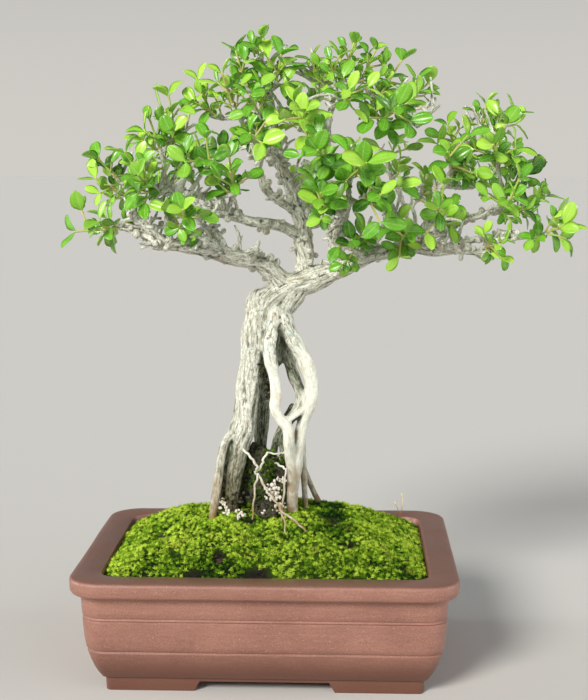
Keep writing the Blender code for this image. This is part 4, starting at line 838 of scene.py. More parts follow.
def gap_cutter(name, along_x, width):
    """A bar under the pot that opens the foot rim, narrower at its top."""
    half = width / 2
    section = (
        (-half - 0.4 * GAP_END_SLOPE, -FOOT_DROP - 2 * MM), (half + 0.4 * GAP_END_SLOPE, -FOOT_DROP - 2 * MM),
        (half - GAP_END_SLOPE, FOOT_GAP_HEIGHT), (-half + GAP_END_SLOPE, FOOT_GAP_HEIGHT),
    )
    verts = []
    for end in (-POT_WIDTH, POT_WIDTH):
        for across, height in section:
            corner = Vector((end, across, height)) if along_x else Vector((across, -end, height))
            verts.append(POT_CENTRE + corner)
    return object_of(name, verts, capped(2, 4), [])


def foot_rim(surface):
    rim = object_of("foot_rim", *lofted([rounded_rectangle(FOOT_INSET + 0.6 * MM, -FOOT_DROP),
                                         rounded_rectangle(FOOT_INSET, FOOT_TOP)]), [surface])
    inner = FOOT_INSET + FOOT_THICKNESS
    core = object_of("foot_core", *lofted([rounded_rectangle(inner, -2 * FOOT_DROP),
                                           rounded_rectangle(inner, 1.2 * FOOT_TOP)]), [])
    gaps = [gap_cutter("front_gap", False, FRONT_GAP_WIDTH), gap_cutter("side_gap", True, SIDE_GAP_WIDTH)]
    cut(rim, [core, *gaps])
    bevel = rim.modifiers.new("Soft edges", "BEVEL")
    bevel.width = 0.9 * MM
    bevel.segments = 2
    bevel.limit_method = "ANGLE"
    bevel.angle_limit = math.radians(40)
    return evaluated_copy(rim)


def build_pot(surface):
    rings = [rounded_rectangle(inset * MM, height * MM) for inset, height in finer_profile(POT_OUTSIDE)]
    inside = finer_profile(POT_INSIDE)
    rings += [rounded_rectangle(inset * MM, height * MM, MOUTH_CORNER_RADIUS) for inset, height in inside]
    body = object_of("pot_body", *lofted(rings), [surface])
    places = read(body.data, "co")
    normals = read(body.data, "normal")
    waver = noise_at(places, 60 * MM) * HAND_WAVER + noise_at(places, 14 * MM, 5) * 0.3 * HAND_WAVER
    waver *= np.clip((places[:, 2] - FLOOR_HEIGHT) / (10 * MM), 0, 1)
    body.data.vertices.foreach_set("co", (places + normals * waver[:, None]).astype(np.float32).ravel())
    drains = []
    for side in (-1, 1):
        centre = POT_CENTRE + Vector((side * DRAIN_SPACING / 2, 0, 0))
        ends = np.array([centre + Vector((0, 0, -MM)), centre + Vector((0, 0, 2 * FLOOR_HEIGHT))])
        verts, faces, _ = tube(ends, np.array([DRAIN_RADIUS] * 2), 32, rounded=False)
        drains.append(object_of("drain", verts, faces, []))
    body = cut(body, drains)
    rim = foot_rim(surface)
    skin = Skin()
    for part in (body, rim):
        skin.add(read(part.data, "co"), [list(face.vertices) for face in part.data.polygons])
        bpy.data.objects.remove(part)
    pot = skin.build("stoneware_pot", [surface], "brown_stoneware", "pot")
    pot.data.set_sharp_from_angle(angle=math.radians(42))
    return pot


# Soil, moss and stone
def wall_share(x, y):
    """How far a place lies from the pot's middle towards the inner wall, where it is 1."""
    across = np.abs(x) / (MOUTH_HALF_WIDTH - GAP)
    deep = np.abs(y) / (MOUTH_HALF_DEPTH - GAP)
    return (across**MOUTH_SQUARENESS + deep**MOUTH_SQUARENESS) ** (1 / MOUTH_SQUARENESS)


def moss_cushions():
    """The moss's cushions: middle x and y, radius and rise of each."""
    draw = np.random.default_rng(SEED)
    x = draw.uniform(-MOUTH_HALF_WIDTH, MOUTH_HALF_WIDTH, CUSHION_COUNT)
    y = draw.uniform(-MOUTH_HALF_DEPTH, MOUTH_HALF_DEPTH, CUSHION_COUNT)
    radius = draw.uniform(6, 17, CUSHION_COUNT) * MM
    return x, y, radius, CUSHION_RISE * draw.uniform(0.55, 1.1, CUSHION_COUNT)


def at_level(x, y, z):
    """Places at these x and y, all as high as z."""
    return np.stack([x, y, np.full_like(x, z)], axis=1)


def moss_surface(x, y, cushions):
    """The moss's height at each place, and how high it lies on its cushion, from 0 to 1."""
    share = wall_share(x, y)
    bell = np.exp(-0.5 * ((x / MOUND_WIDTH) ** 2 + (y / MOUND_DEPTH) ** 2))
    lumps = noise_at(at_level(x, y, 0.02) * 38, 1.0) + 0.5 * noise_at(at_level(x, y, 0.9) * 90, 1.0)
    dome = np.zeros_like(x)
    for middle_x, middle_y, radius, rise in zip(*cushions):
        reach = ((x - middle_x) ** 2 + (y - middle_y) ** 2) / radius**2
        dome = np.maximum(dome, rise / CUSHION_RISE * np.sqrt(np.clip(1 - reach, 0, 1)))
    rise = MOUND_SHOULDER + MOUND_HEIGHT * bell + MOSS_LUMP * (0.7 + lumps)
    height = MOSS_EDGE_HEIGHT + np.clip(1 - share**4, 0, 1) * rise
    return height + (CUSHION_RISE * (dome - 0.75)) * np.clip(3 * (1 - share), 0.15, 1), dome


def bareness(x, y):
    """1 where the soil shows, 0 where the moss has closed."""
    worst = np.zeros_like(x)
    ragged = noise_at(at_level(x, y, 0), 6 * MM, 11) * 0.35
    for middle_x, middle_y, radius in BARE_SPOTS:
        away = np.hypot(x - middle_x * MM, (y - middle_y * MM) * 1.6) / (radius * MM)
        worst = np.maximum(worst, np.clip((1.0 - away + ragged) * 3, 0, 1))
    return worst


def darkness(x, y):
    """How dark the moss is: of the darker kind right of and behind the trunk, and painted shade in the back
    left corner by the wall.
    """
    most = np.zeros_like(x)
    for middle_x, middle_y, radius in DARK_MOSS_AND_SHADE:
        away = np.hypot(x - middle_x * MM, y - middle_y * MM) / (radius * MM)
        most = np.maximum(most, np.clip(1.5 - 1.5 * away, 0, 1))
    return most


def build_carpet(surface, cushions):
    """The closed sheet under the tufts, from the pot's wall to the middle, painted near black like the tufts'
    foot as the shade between them.
    """
    edge = rounded_rectangle(INNER_WALL_INSET + GAP, 0, MOUTH_CORNER_RADIUS)
    outline = np.array([tuple(point - POT_CENTRE) for point in edge])
    shares = np.linspace(1, 0.02, CARPET_RINGS)
    flat = (outline[None, :, :2] * shares[:, None, None]).reshape(-1, 2)
    x, y = flat[:, 0], flat[:, 1]
    height, dome = moss_surface(x, y, cushions)
    bare = bareness(x, y)
    top = np.stack([x, y, height - CARPET_SINK - 1.5 * MM * bare], axis=1)
    skirt = np.array([(px, py, MOSS_EDGE_HEIGHT - SKIRT_DROP) for px, py in outline[:, :2]])
    verts = np.vstack([skirt, top]) + np.array(POT_CENTRE)
    # Painted light: the sheet's tone rises on the cushion tops.
    tone = np.clip(0.15 + 0.3 * dome - 0.5 * darkness(x, y), 0, 1)
    tuft = np.stack([0.12 + 0.14 * dome, tone, bare], axis=1)
    tuft = np.vstack([np.tile([0.0, 0.2, 1.0], (len(skirt), 1)), tuft])
    skin = Skin()
    skin.add(verts, capped(CARPET_RINGS + 1, len(skirt)), tuft=tuft)
    return skin.build("moss_carpet", [surface], "cushion_moss", "moss")


def star_shoots(draw, foot, lean, size, tone):
    """Moss shoots: each is a spray of slim three-sided leaflets. Gives their verts, faces and tuft values."""
    count = len(foot)
    side = unit(np.cross(lean, np.array([0.3, 0.9, 0.1])))
    other = np.cross(lean, side)
    turn = draw.uniform(0, math.tau, (count, 1)) + 2.4 * np.arange(LEAFLETS)[None, :]
    tilt = np.linspace(0.15, 1.15, LEAFLETS)[None, :] + draw.normal(0, 0.12, (count, LEAFLETS))
    spoke = side[:, None] * np.cos(turn)[..., None] + other[:, None] * np.sin(turn)[..., None]
    way = lean[:, None] * np.cos(tilt)[..., None] + spoke * np.sin(tilt)[..., None]
    low = foot[:, None] + spoke * (0.25 * MM * size[:, None])[..., None]
    tip = low + way * (LEAFLET_LENGTH * size[:, None] * draw.uniform(0.8, 1.2, (count, LEAFLETS)))[..., None]
    first = unit(np.cross(way, np.array([0.1, 0.2, 0.97])))
    second = np.cross(way, first)
    corners = []
    for third in range(3):
        angle = math.tau * third / 3
        reach = (LEAFLET_RADIUS * size)[:, None, None]
        corners.append(low + (first * math.cos(angle) + second * math.sin(angle)) * reach)
    verts = np.stack([*corners, tip], axis=2).reshape(-1, 3)
    start = 4 * np.arange(count * LEAFLETS)[:, None]
    faces = np.concatenate([start + np.array([[a, b, 3]]) for a, b in ((0, 1), (1, 2), (2, 0))]).tolist()
    rise = np.tile([0.12, 0.12, 0.12, 1.0], count * LEAFLETS)
    tones = np.repeat(tone, 4 * LEAFLETS)
    return verts, faces, np.stack([rise, tones, np.zeros_like(rise)], axis=1)


def build_moss_half(name, surface, cushions, front):
    """The moss shoots over the front or the back half of the mound."""
    draw = np.random.default_rng(SEED + (1 if front else 2))
    stars = STARS_IN_FRONT if front else STARS_BEHIND
    x = draw.uniform(-MOUTH_HALF_WIDTH, MOUTH_HALF_WIDTH, stars)
    y = draw.uniform(-MOUTH_HALF_DEPTH, 0, stars) * (1 if front else -1)
    keep = (wall_share(x, y) < 0.99) & (bareness(x, y) < draw.uniform(0.05, 0.6, len(x)))
    x, y = x[keep], y[keep]
    height, dome = moss_surface(x, y, cushions)
    step = 1.5 * MM
    slope_x = (moss_surface(x + step, y, cushions)[0] - height) / step
    slope_y = (moss_surface(x, y + step, cushions)[0] - height) / step
    upright = unit(np.stack([-slope_x, -slope_y, np.ones_like(x)], axis=1))
    lean = unit(upright + draw.normal(0, 0.22, (len(x), 3)))
    high = draw.normal(0, 0.55, len(x)) * MM
    foot = np.stack([x, y, height - CARPET_SINK + high], axis=1) + np.array(POT_CENTRE)
    size = draw.uniform(0.55, 1.12, len(x))
    patch = noise_at(at_level(x, y, 0.3), 16 * MM, 41)
    light = 0.22 + 0.5 * dome + 0.3 * patch + draw.normal(0, 0.28, len(x)) + high / (4 * MM)
    light -= 0.75 * darkness(x, y)
    skin = Skin()
    verts, faces, tuft = star_shoots(draw, foot, lean, size, np.clip(light, 0, 1))
    skin.add(verts, faces, tuft=tuft)
    return skin.build(name, [surface], "cushion_moss")


def build_stone_moss(surface):
    """Moss that has climbed the stone and the feet of the roots."""
    draw = np.random.default_rng(SEED + 3)
    angle = draw.uniform(math.radians(170), math.radians(370), STONE_MOSS_TRIES)
    level = draw.uniform(-0.75, 0.95, STONE_MOSS_TRIES)
    ring = np.sqrt(1 - level**2)
    ray = np.stack([ring * np.cos(angle), ring * np.sin(angle), level], axis=1)
    foot = np.array(from_pot(*STONE_CENTRE)) + ray * np.array(STONE_RADII) * MM * 1.03
    keep = noise_at(foot, 8 * MM, 31) > -0.05
    ray, foot = ray[keep], foot[keep]
    tone = np.clip(0.28 + draw.normal(0, 0.22, len(foot)), 0, 1)
    size = draw.uniform(0.5, 0.95, len(foot))
    verts, faces, tuft = star_shoots(draw, foot, unit(ray + [0, 0, 0.4]), size, tone)
    skin = Skin()
    skin.add(verts, faces, tuft=tuft)
    return skin.build("moss_on_stone", [surface], "cushion_moss")


def build_dry_stalks(surface):
    """The dry stalks of two moss capsules that stand up from the cushions at the back right."""
    skin = Skin()
    for foot, top in DRY_STALKS:
        bend = Vector(foot).lerp(Vector(top), 0.6) + Vector((1.2, 0, 0))
        route = [from_pot(*point) for point in (foot, bend, top)]
        places, widths = smooth_route(route, [0.35 * MM, 0.3 * MM, 0.3 * MM], MM)
        skin.add(*tube(places, widths, 6)[:2])
        head = [route[-1], route[-1] + Vector((-0.6, 0, 1.6)) * MM]
        skin.add(*tube(np.array(head), np.array([0.8, 0.55]) * MM, 6)[:2])
    return skin.build("dry_moss_stalks", [surface], "cushion_moss")


def rock(centre, radii, rows, columns, rough, offset):
    """A rough rounded stone: its verts and faces. Rough is how far it strays from the ellipsoid."""
    verts = []
    for row in range(rows + 1):
        polar = math.pi * min(max(row / rows, 0.02), 0.98)
        for column in range(columns):
            angle = math.tau * column / columns
            ring = math.sin(polar)
            ray = Vector((ring * math.cos(angle), ring * math.sin(angle), -math.cos(polar)))
            stray = noise.noise(ray * 1.7 + offset) + 0.45 * noise.noise(ray * 5.1 + offset)
            stray += 0.25 * noise.noise(ray * 13 + offset)
            reach = 1 + rough * stray
            verts.append(centre + Vector([part * radius * reach for part, radius in zip(ray, radii)]))
    return verts, capped(rows + 1, columns)


def build_stone(surface):
    skin = Skin()
    radii = [radius * MM for radius in STONE_RADII]
    skin.add(*rock(from_pot(*STONE_CENTRE), radii, *STONE_GRID, 0.24, Vector((3, 1, 4))))
    return skin.build("root_gripped_stone", [surface], "dark_stone", "root_stone")


def add_grains(skin, draw, bed, scatter, rough, grain_radii):
    """Rough grains heaped in a bed. The last argument draws the radii of one grain."""
    middle, spread, count = bed
    for _ in range(count):
        centre = from_pot(*middle) + Vector([draw.gauss(0, share) for share in scatter]) * spread * MM
        radii = grain_radii(draw)
        offset = Vector([draw.uniform(0, 90) for _ in range(3)])
        skin.add(*rock(centre, radii, *GRAIN_GRID, rough, offset))


def pumice_radii(draw):
    radius = draw.uniform(0.5, 1.3) * MM
    return [radius * draw.uniform(0.6, 1.3) for _ in range(3)]


def crumb_radii(draw):
    return [draw.uniform(0.7, 1.9) * MM for _ in range(3)]


def build_pumice(surface):
    """White grains caught between the roots and on the stone's foot."""
    draw = random.Random(SEED)
    skin = Skin()
    for bed in PUMICE_BEDS:
        add_grains(skin, draw, bed, (0.6, 0.3, 0.7), 0.55, pumice_radii)
    return skin.build("pumice_grains", [surface], "dark_stone")


def build_crumbs(surface):
    """Dark crumbs of old soil and moss, packed into the trunk's hollow and between the feet of the roots."""
    draw = random.Random(SEED + 1)
    skin = Skin()
    for bed in [*[(spot, 2.0, 9) for spot in HOLLOW], *CRUMB_BEDS]:
        add_grains(skin, draw, bed, (0.7, 0.6, 1.1), 0.5, crumb_radii)
    radii = [radius * MM for radius in DARK_LUMP_RADII]
    skin.add(*rock(from_pot(*DARK_LUMP), radii, *LUMP_GRID, 0.4, Vector((2, 7, 5))))
    return skin.build("hollow_crumbs", [surface], "dark_stone")


# The wood
def samples_along(limb):
    """Points on a limb about every 5 mm, each with its radius, where a twig may start."""
    _, first, last, points = limb
    places = [from_pot(*point) for point in points]
    radii = even_radii(first, last, len(points))
    found = []
    for index in range(1, len(places)):
        start, end = places[index - 1], places[index]
        count = max(1, round((end - start).length / (5 * MM)))
        for step in range(1, count + 1):
            share = step / count
            radius = radii[index - 1] + (radii[index] - radii[index - 1]) * share
            found.append((start.lerp(end, share), radius))
    return found


def curve_points(start, start_pull, end, end_pull, count):
    """Points of a cubic curve between two places, with the given pulls at its ends."""
    first, second = start + start_pull, end - end_pull
    points = []
    for step in range(count + 1):
        t = step / count
        u = 1 - t
        points.append(start * u**3 + first * 3 * u * u * t + second * 3 * u * t * t + end * t**3)
    return points


def twig_targets():
    """Where twigs must lead: each shoot's base and each bare twig's foot, with the way they go on."""
    targets = []
    for name, base, tip, _ in SHOOTS:
        start = from_pot(*base)
        targets.append((name, start, (from_pot(*tip) - start).normalized(), None))
    for number, (foot, tip) in enumerate(BARE_TWIGS):
        start = from_pot(*foot)
        end = from_pot(*tip)
        targets.append((f"bare_{number}", start, (end - start).normalized(), end))
    return targets


def twig_start(skeleton, base, heading):
    """The place on the skeleton from which a twig reaches the base with least length and bend."""

    def cost(sample):
        way = base - sample[0]
        bend = 1 - way.normalized().dot(heading) if way.length > 0 else 0
        return way.length * (1 + 0.35 * bend) + 0.9 * max(0.0, -way.z)

    return min(skeleton, key=cost)


def grow_twigs():
    """The points and radii of the twig to each target. Later ones may start on earlier ones."""
    skeleton = [sample for limb in LIMBS[1:] for sample in samples_along(limb)]
    waiting = twig_targets()
    twigs = {}
    while waiting:
        waiting.sort(key=lambda target: (twig_start(skeleton, target[1], target[2])[0] - target[1]).length)
        name, base, heading, bare_tip = waiting.pop(0)
        draw = seeded("twig", name)
        start, start_radius = twig_start(skeleton, base, heading)
        before_base = base - heading * 3 * MM
        length = (before_base - start).length
        count = max(2, round(length / TWIG_STEP))
        outward = (before_base - start).normalized() + Vector((0, 0, 0.35))
        points = curve_points(start, outward * length * 0.3, before_base, heading * length * 0.3, count)
        for index in range(1, count):
            points[index] += any_way(draw) * 1.1 * MM
        points.append(base)
        base_radius = min(TWIG_BASE_RADIUS, 0.9 * start_radius)
        last = len(points) - 1
        radii = [base_radius + (TWIG_END_RADIUS - base_radius) * index / last for index in range(last + 1)]
        if bare_tip:
            points.append(bare_tip)
            radii.append(0.7 * MM)
        twigs[name] = (points, radii)
        skeleton.extend((point, radius) for point, radius in list(zip(points, radii))[1:-1])
    return twigs


class Centrelines:
    """Places along roots and limbs: heading, side, width, distance along, and state of the bark."""

    def __init__(self):
        self.rows = []

    def add(self, places, widths, number, state):
        ahead, side = route_frames(places)
        along = np.concatenate([[0], np.cumsum(np.linalg.norm(np.diff(places, axis=0), axis=1))])
        offset = np.tile([0.031 * number, 0.017 * number, 0.043 * number], (len(places), 1))
        age, top_film, foot_film = state
        share = np.clip((np.linspace(0, 1, len(places)) - 0.58) / 0.16, 0, 1)
        states = np.stack([np.full(len(places), age), top_film + (foot_film - top_film) * share], axis=1)
        self.rows.append(np.hstack([places, ahead, side, widths[:, None], along[:, None], offset, states]))

    def grain(self, verts):
        """Each vert's place in the grain of its limb, the limb's width there and the state of its bark."""
        table = np.concatenate(self.rows)
        found = np.zeros((len(verts), 3))
        width = np.zeros(len(verts))
        state = np.zeros((len(verts), 2))
        for start in range(0, len(verts), 4000):
            part = verts[start:start + 4000]
            away = np.linalg.norm(part[:, None] - table[None, :, :3], axis=2) / table[None, :, 9]
            row = table[np.argmin(away, axis=1)]
            spoke = part - row[:, :3]
            up = np.cross(row[:, 3:6], row[:, 6:9])
            angle = np.arctan2((spoke * up).sum(1), (spoke * row[:, 6:9]).sum(1))
            along = row[:, 10] + (spoke * row[:, 3:6]).sum(1)
            place = np.stack([row[:, 9] * np.cos(angle), row[:, 9] * np.sin(angle), along], axis=1)
            found[start:start + 4000] = place + row[:, 11:14]
            width[start:start + 4000] = row[:, 9]
            state[start:start + 4000] = row[:, 14:16]
        return found, width, state


def evened(mesh, values, turns):
    """The values at the mesh's verts, evened out along its edges."""
    ends = np.zeros(len(mesh.edges) * 2, np.int32)
    mesh.edges.foreach_get("vertices", ends)
    first, second = ends.reshape(-1, 2).T
    count = len(values)
    shared = np.maximum(np.bincount(first, minlength=count) + np.bincount(second, minlength=count), 1)
    for _ in range(turns):
        total = np.bincount(first, values[second], count) + np.bincount(second, values[first], count)
        values = 0.5 * values + 0.5 * total / shared
    return values


def shelter(mesh):
    """How far the mesh closes each vert in, from 0 to 1: light doesn't reach such hollows, and this share
    paints shade there in the green film's colour.
    """
    places, normals = read(mesh, "co"), read(mesh, "normal")
    tree = BVHTree.FromPolygons(places.tolist(), [tuple(face.vertices) for face in mesh.polygons])
    rays = unit(np.random.default_rng(SEED + 5).normal(0, 1, (SHADE_RAYS, 3)))
    closed = np.zeros(len(places))
    for ray in rays:
        ways = unit(normals + 0.95 * ray)
        starts = places + normals * 0.6 * MM
        for index, (start, way) in enumerate(zip(starts, ways)):
            if tree.ray_cast(start, way, SHADE_REACH)[0] is not None:
                closed[index] += 1 / SHADE_RAYS
    return evened(mesh, closed, 6)


def press_bark(wood, lines):
    """Fibres, cracks and lumps pressed into the wood, and what its bark looks like at each vert."""
    places = read(wood.data, "co")
    normals = read(wood.data, "normal")
    grain, width, state = lines.grain(places)
    age, film = [evened(wood.data, column, 16) for column in state.T]
    strand = noise_at(grain * np.array([1, 1, 0.18]), STRAND_SIZE)
    fibre = noise_at(grain * np.array([1, 1, 0.3]), FIBRE_SIZE, 3)
    lump = noise_at(places, LUMP_SIZE, 9)
    knob = noise_at(places, KNOB_SIZE, 13)
    pit = noise_at(places, PIT_SIZE, 17)
    local = (places - np.array(from_pot(*NECK))) / (np.array(NECK_RADII) * MM)
    in_neck = np.clip(1.5 - 1.2 * (local**2).sum(1), 0, 1)
    in_crown = np.clip((places[:, 2] - CROWN_FOOT) / CROWN_BLEND, 0, 1)
    rugged = np.maximum(in_crown, in_neck)
    strength = np.clip(width / (5 * MM), 0.3, 1.25) * (0.3 + 0.7 * np.maximum(age, in_neck))
    depth = (0.55 * strand + 0.25 * fibre) * (1 - 0.45 * rugged) + 0.5 * lump * (0.5 + rugged)
    depth += 0.42 * pit * rugged
    depth += 0.5 * knob * rugged
    moved = places + normals * (depth * strength * MM)[:, None]
    wood.data.vertices.foreach_set("co", moved.astype(np.float32).ravel())
    wood.data.update()
    # Partly painted shade: crack is highest where strand, fibre and pits press the wood in, so the grooves
    # are painted dark as well as coloured as fissures.
    crack = np.clip(0.5 - 0.6 * strand * (1 - 0.4 * rugged) - 0.35 * fibre - 0.5 * pit * rugged, 0, 1)
    # Painted shade: verts that the wood closes in get the green film's dark colour, as shade in the hollows
    closed = shelter(wood.data)
    # Painted shade: the back of the roots below the crown is darkened with the green film's colour
    behind = np.clip((places[:, 1] - 6 * MM) / (16 * MM), 0, 1)
    behind *= np.clip((CROWN_FOOT - 4 * MM - places[:, 2]) / CROWN_BLEND, 0, 1)
    hollow_shade = np.clip(closed - 0.38, 0, 1) / 0.4 * (1 - 0.75 * in_crown)
    # green joins the roots' real film with these painted shades
    green = np.clip(film + hollow_shade + 0.3 * behind, 0, 1)
    lichen = np.clip(0.12 + 0.9 * in_neck, 0, 1)
    write_values(wood.data, "grain", grain)
    write_values(wood.data, "crack", crack)
    write_values(wood.data, "state", np.stack([np.maximum(age, 0.9 * in_neck), green, lichen], axis=1))
    wood.data.update()


def build_wood(surface):
    """Roots, trunk and limbs fused into one skin, with its bark pressed in."""
    skin = Skin()
    lines = Centrelines()
    for number, limb in enumerate(ROOTS + LIMBS):
        name, first, last, points = limb
        radii = even_radii(first, last, len(points))
        places, widths = smooth_route([from_pot(*point) for point in points], radii, WOOD_STEP)
        spots = [Vector((0.09 * step * WOOD_STEP / MM, 7.0 * number, 0.5)) for step in range(len(widths))]
        widths = widths * (1 + 0.16 * np.array([noise.noise(spot) for spot in spots]))
        lines.add(places, widths, number, ROOT_BARK.get(name, LIMB_BARK))
        skin.add(*tube(places, widths, LIMB_SIDES)[:2])
    wood = object_of("trunk_and_limbs", np.concatenate(skin.verts), skin.faces, [surface])
    remesh = wood.modifiers.new("Fuse", "REMESH")
    remesh.mode = "VOXEL"
    remesh.voxel_size = WOOD_VOXEL
    smooth = wood.modifiers.new("Ease", "SMOOTH")
    smooth.factor = 0.5
    smooth.iterations = SMOOTHING_TURNS
    evaluated_copy(wood)
    press_bark(wood, lines)
    triangles = sum(len(face.vertices) - 2 for face in wood.data.polygons)
    if triangles > WOOD_FACE_LIMIT:
        thin = wood.modifiers.new("Thin", "DECIMATE")
        thin.ratio = WOOD_FACE_LIMIT / triangles
        evaluated_copy(wood)
    wood.data.shade_smooth()
    return show(wood, "pale_bark", "wood")


def bark_tube(skin, points, radii, sides, number, step, knobs=0.12, state=(0.85, 0.05, 0.1)):
    """A twig or spur with a knobbly bark."""
    places, widths = smooth_route(points, radii, step)
    draw = seeded("bark", number)
    widths = widths * np.array([1 + knobs * draw.uniform(-1, 1.3) for _ in widths])
    verts, faces, grain = tube(places, widths, sides)
    offset = np.array([0.023, 0.037, 0.029]) * (number + 50)
    crack = 0.45 + 0.4 * noise_at(verts, 1.6 * MM, 23)
    skin.add(verts, faces, grain=grain + offset, crack=crack, state=state)


def add_stub(skin, place, radius, number, draw):
    """A short cut stub, blunt and a little swollen at its end."""
    way = Vector([draw.uniform(-1, 1), draw.uniform(-1, 1), draw.uniform(-0.4, 1.1)]).normalized()
    reach = radius + draw.uniform(0.8, 3.8) * MM
    bend = any_way(draw) * 0.6 * MM
    width = min(draw.uniform(1.0, 2.3) * MM, 0.9 * radius)
    radii = [width * 1.3, width * 0.95, width * draw.uniform(1.0, 1.35)]
    points = [place, place + way * 0.6 * reach + bend, place + way * reach]
    bark_tube(skin, points, radii, STUB_SIDES, number, 1.9 * MM, 0.16)


def add_dead_twig(skin, place, number, draw):
    """A thin leafless twig that wanders up from a limb, sometimes with a fork."""
    way = Vector([draw.uniform(-1, 1), draw.uniform(-0.9, 0.9), draw.uniform(-0.1, 1.4)]).normalized()
    points = [place]
    for _ in range(draw.randint(2, 5)):
        way = (way + any_way(draw) * 0.5).normalized()
        points.append(points[-1] + way * draw.uniform(4, 8) * MM)
    radii = [(1.4 - 0.5 * index / (len(points) - 1)) * MM for index in range(len(points))]
    bark_tube(skin, points, radii, THIN_SIDES, number, 2.4 * MM, 0.18)
    fork = points[len(points) // 2]
    side = (way.orthogonal() + Vector((0, 0, 0.4)) + way * 0.6).normalized()
    tip = fork + side * draw.uniform(3, 7) * MM
    bark_tube(skin, [fork, tip], [0.95 * MM, 0.9 * MM], THIN_SIDES, number + 1, 2.4 * MM, 0.18)


def build_fine_roots(surface):
    """The fine pale roots over the stone, kinked where they met a grain."""
    skin = Skin()
    for number, (radius, points) in enumerate(FINE_ROOTS):
        draw = seeded("fine root", number)
        route = [from_pot(*point) for point in points]
        bent = [route[0]]
        for start, end in zip(route, route[1:]):
            for share in (0.33, 0.67):
                sway = any_way(draw) * 0.65 * MM
                bent.append(start.lerp(end, share) + sway)
            bent.append(end)
        radii = even_radii(0.9 * radius, 0.7 * radius, len(bent))
        bark_tube(skin, bent, radii, TWIG_SIDES, 900 + number, MM, 0.08, (0.35, 0.0, 0.0))
    return skin.build("fine_roots", [surface], "pale_bark")


def build_twigs(surface, twigs):
    """Every twig, the cut stubs on limbs and twigs, and the thin dead ones between."""
    draw = seeded("spurs")
    skin = Skin()
    number = 0
    starts = []
    for points, radii in twigs.values():
        bark_tube(skin, points, [1.12 * radius for radius in radii], TWIG_SIDES, number, 1.6 * MM, 0.2)
        number += 1
        starts += list(zip(points, radii))[1:-1]
    limb_starts = [sample for limb in LIMBS[1:] for sample in samples_along(limb)[1:]]
    for place, radius in limb_starts * 3 + starts:
        if draw.random() < STUB_CHANCE:
            add_stub(skin, place, radius, number, draw)
            number += 1
    for place, _ in draw.sample(limb_starts + starts, DEAD_TWIGS):
        add_dead_twig(skin, place, number, draw)
        number += 2
    return skin.build("twigs_and_stubs", [surface], "pale_bark")


# The leafy shoots, grown by the same rules and draws as the solids
def tree_of(verts, faces):
    return BVHTree.FromPolygons([tuple(vert) for vert in verts], faces, all_triangles=False)


def plain_tube(points, radii):
    """A four-sided tube, to find what a stem would meet."""
    verts = []
    last = len(points) - 1
    side = (points[1] - points[0]).orthogonal()
    for index, point in enumerate(points):
        ahead = (points[min(index + 1, last)] - points[max(index - 1, 0)]).normalized()
        side = (side - ahead * side.dot(ahead)).normalized()
        up = ahead.cross(side)
        for step in range(4):
            angle = math.tau * step / 4
            verts.append(point + (side * math.cos(angle) + up * math.sin(angle)) * radii[index])
    return verts, capped(last + 1, 4)


def blade_solid(base, heading, up, length, spare=0.0):
    """A leaf as a thin lens, to find what it would meet. The spare widens it all round."""
    across = up.cross(heading).normalized()
    up = heading.cross(across).normalized()
    half_width = length * BLADE_WIDTH_SHARE / 2 + spare
    cup = 0.05 * length
    droop = 0.10 * length

    def at(along, aside, lift):
        on_rib = base + heading * (length + spare) * along
        return on_rib + across * aside + up * (lift - droop * along * along)

    left = [at(t, half_width * w, cup * w * w) for t, w in BLADE_OUTLINE]
    right = [at(t, -half_width * w, cup * w * w) for t, w in BLADE_OUTLINE]
    half = LEAF_THICKNESS / 2 + spare
    outline = [base, *right, at(1, 0, 0), *left[::-1]]
    count = len(outline)
    faces = [(step, (step + 1) % count, count) for step in range(count)]
    faces += [((step + 1) % count, step, count + 1) for step in range(count)]
    return [*outline, at(BLADE_THICKEST, 0, half), at(BLADE_THICKEST, 0, -half)], faces


def stem_points(base, tip, sway, draw):
    """A green stem from just past the twig's end, straight at first, then bent a little."""
    heading = (tip - base).normalized()
    start = base + heading * GAP
    bent_tip = tip + any_way(draw) * sway
    middle = start + heading * (bent_tip - start).length / 2
    return [start, middle, bent_tip]


def along_points(points, distance):
    """The place and heading at a distance along a row of points."""
    for start, end in zip(points, points[1:]):
        length = (end - start).length
        if distance <= length or end == points[-1]:
            return start.lerp(end, min(distance / length, 1)), (end - start).normalized()
        distance -= length
    return points[-1], (points[-1] - points[-2]).normalized()


def leaf_places(axis, length, draw):
    """Each leaf of a stem's opposite pairs: owner, place, heading, spread, turn and size."""
    places = []
    turn = axis["turn"]
    for pair, distance in enumerate(axis["pairs"]):
        spot, heading = along_points(axis["points"], distance)
        share = distance / axis["pairs"][-1]
        spread = math.radians(74 - 30 * share + draw.uniform(-8, 8))
        size = length * draw.uniform(0.82, 1.05)
        for side in (0, math.pi):
            owner = (*axis["owner"], pair, side)
            places.append((owner, spot, heading, spread, turn + side, size * draw.uniform(0.9, 1.08)))
        turn += math.pi / 2
    return places


def turned_side(heading, turn):
    """The direction square to the heading at this turn about it."""
    side = heading.orthogonal().normalized()
    side.rotate(Matrix.Rotation(turn, 3, heading))
    return side


def leaf_frame(heading, spread, turn, outward, sway):
    """Which way a leaf points and which way its face looks."""
    side = turned_side(heading, turn)
    way = (heading * math.cos(spread) + side * math.sin(spread) + Vector((0, 0, 0.12))).normalized()
    up = heading * 0.5 + outward * 0.35 + LIGHT_PULL + sway
    up = up - way * up.dot(way)
    if up.length < 0.2:
        up = side.cross(way)
    return way, up.normalized()


def ball_of(verts):
    middle = sum(verts, Vector()) / len(verts)
    return middle, max((vert - middle).length for vert in verts)


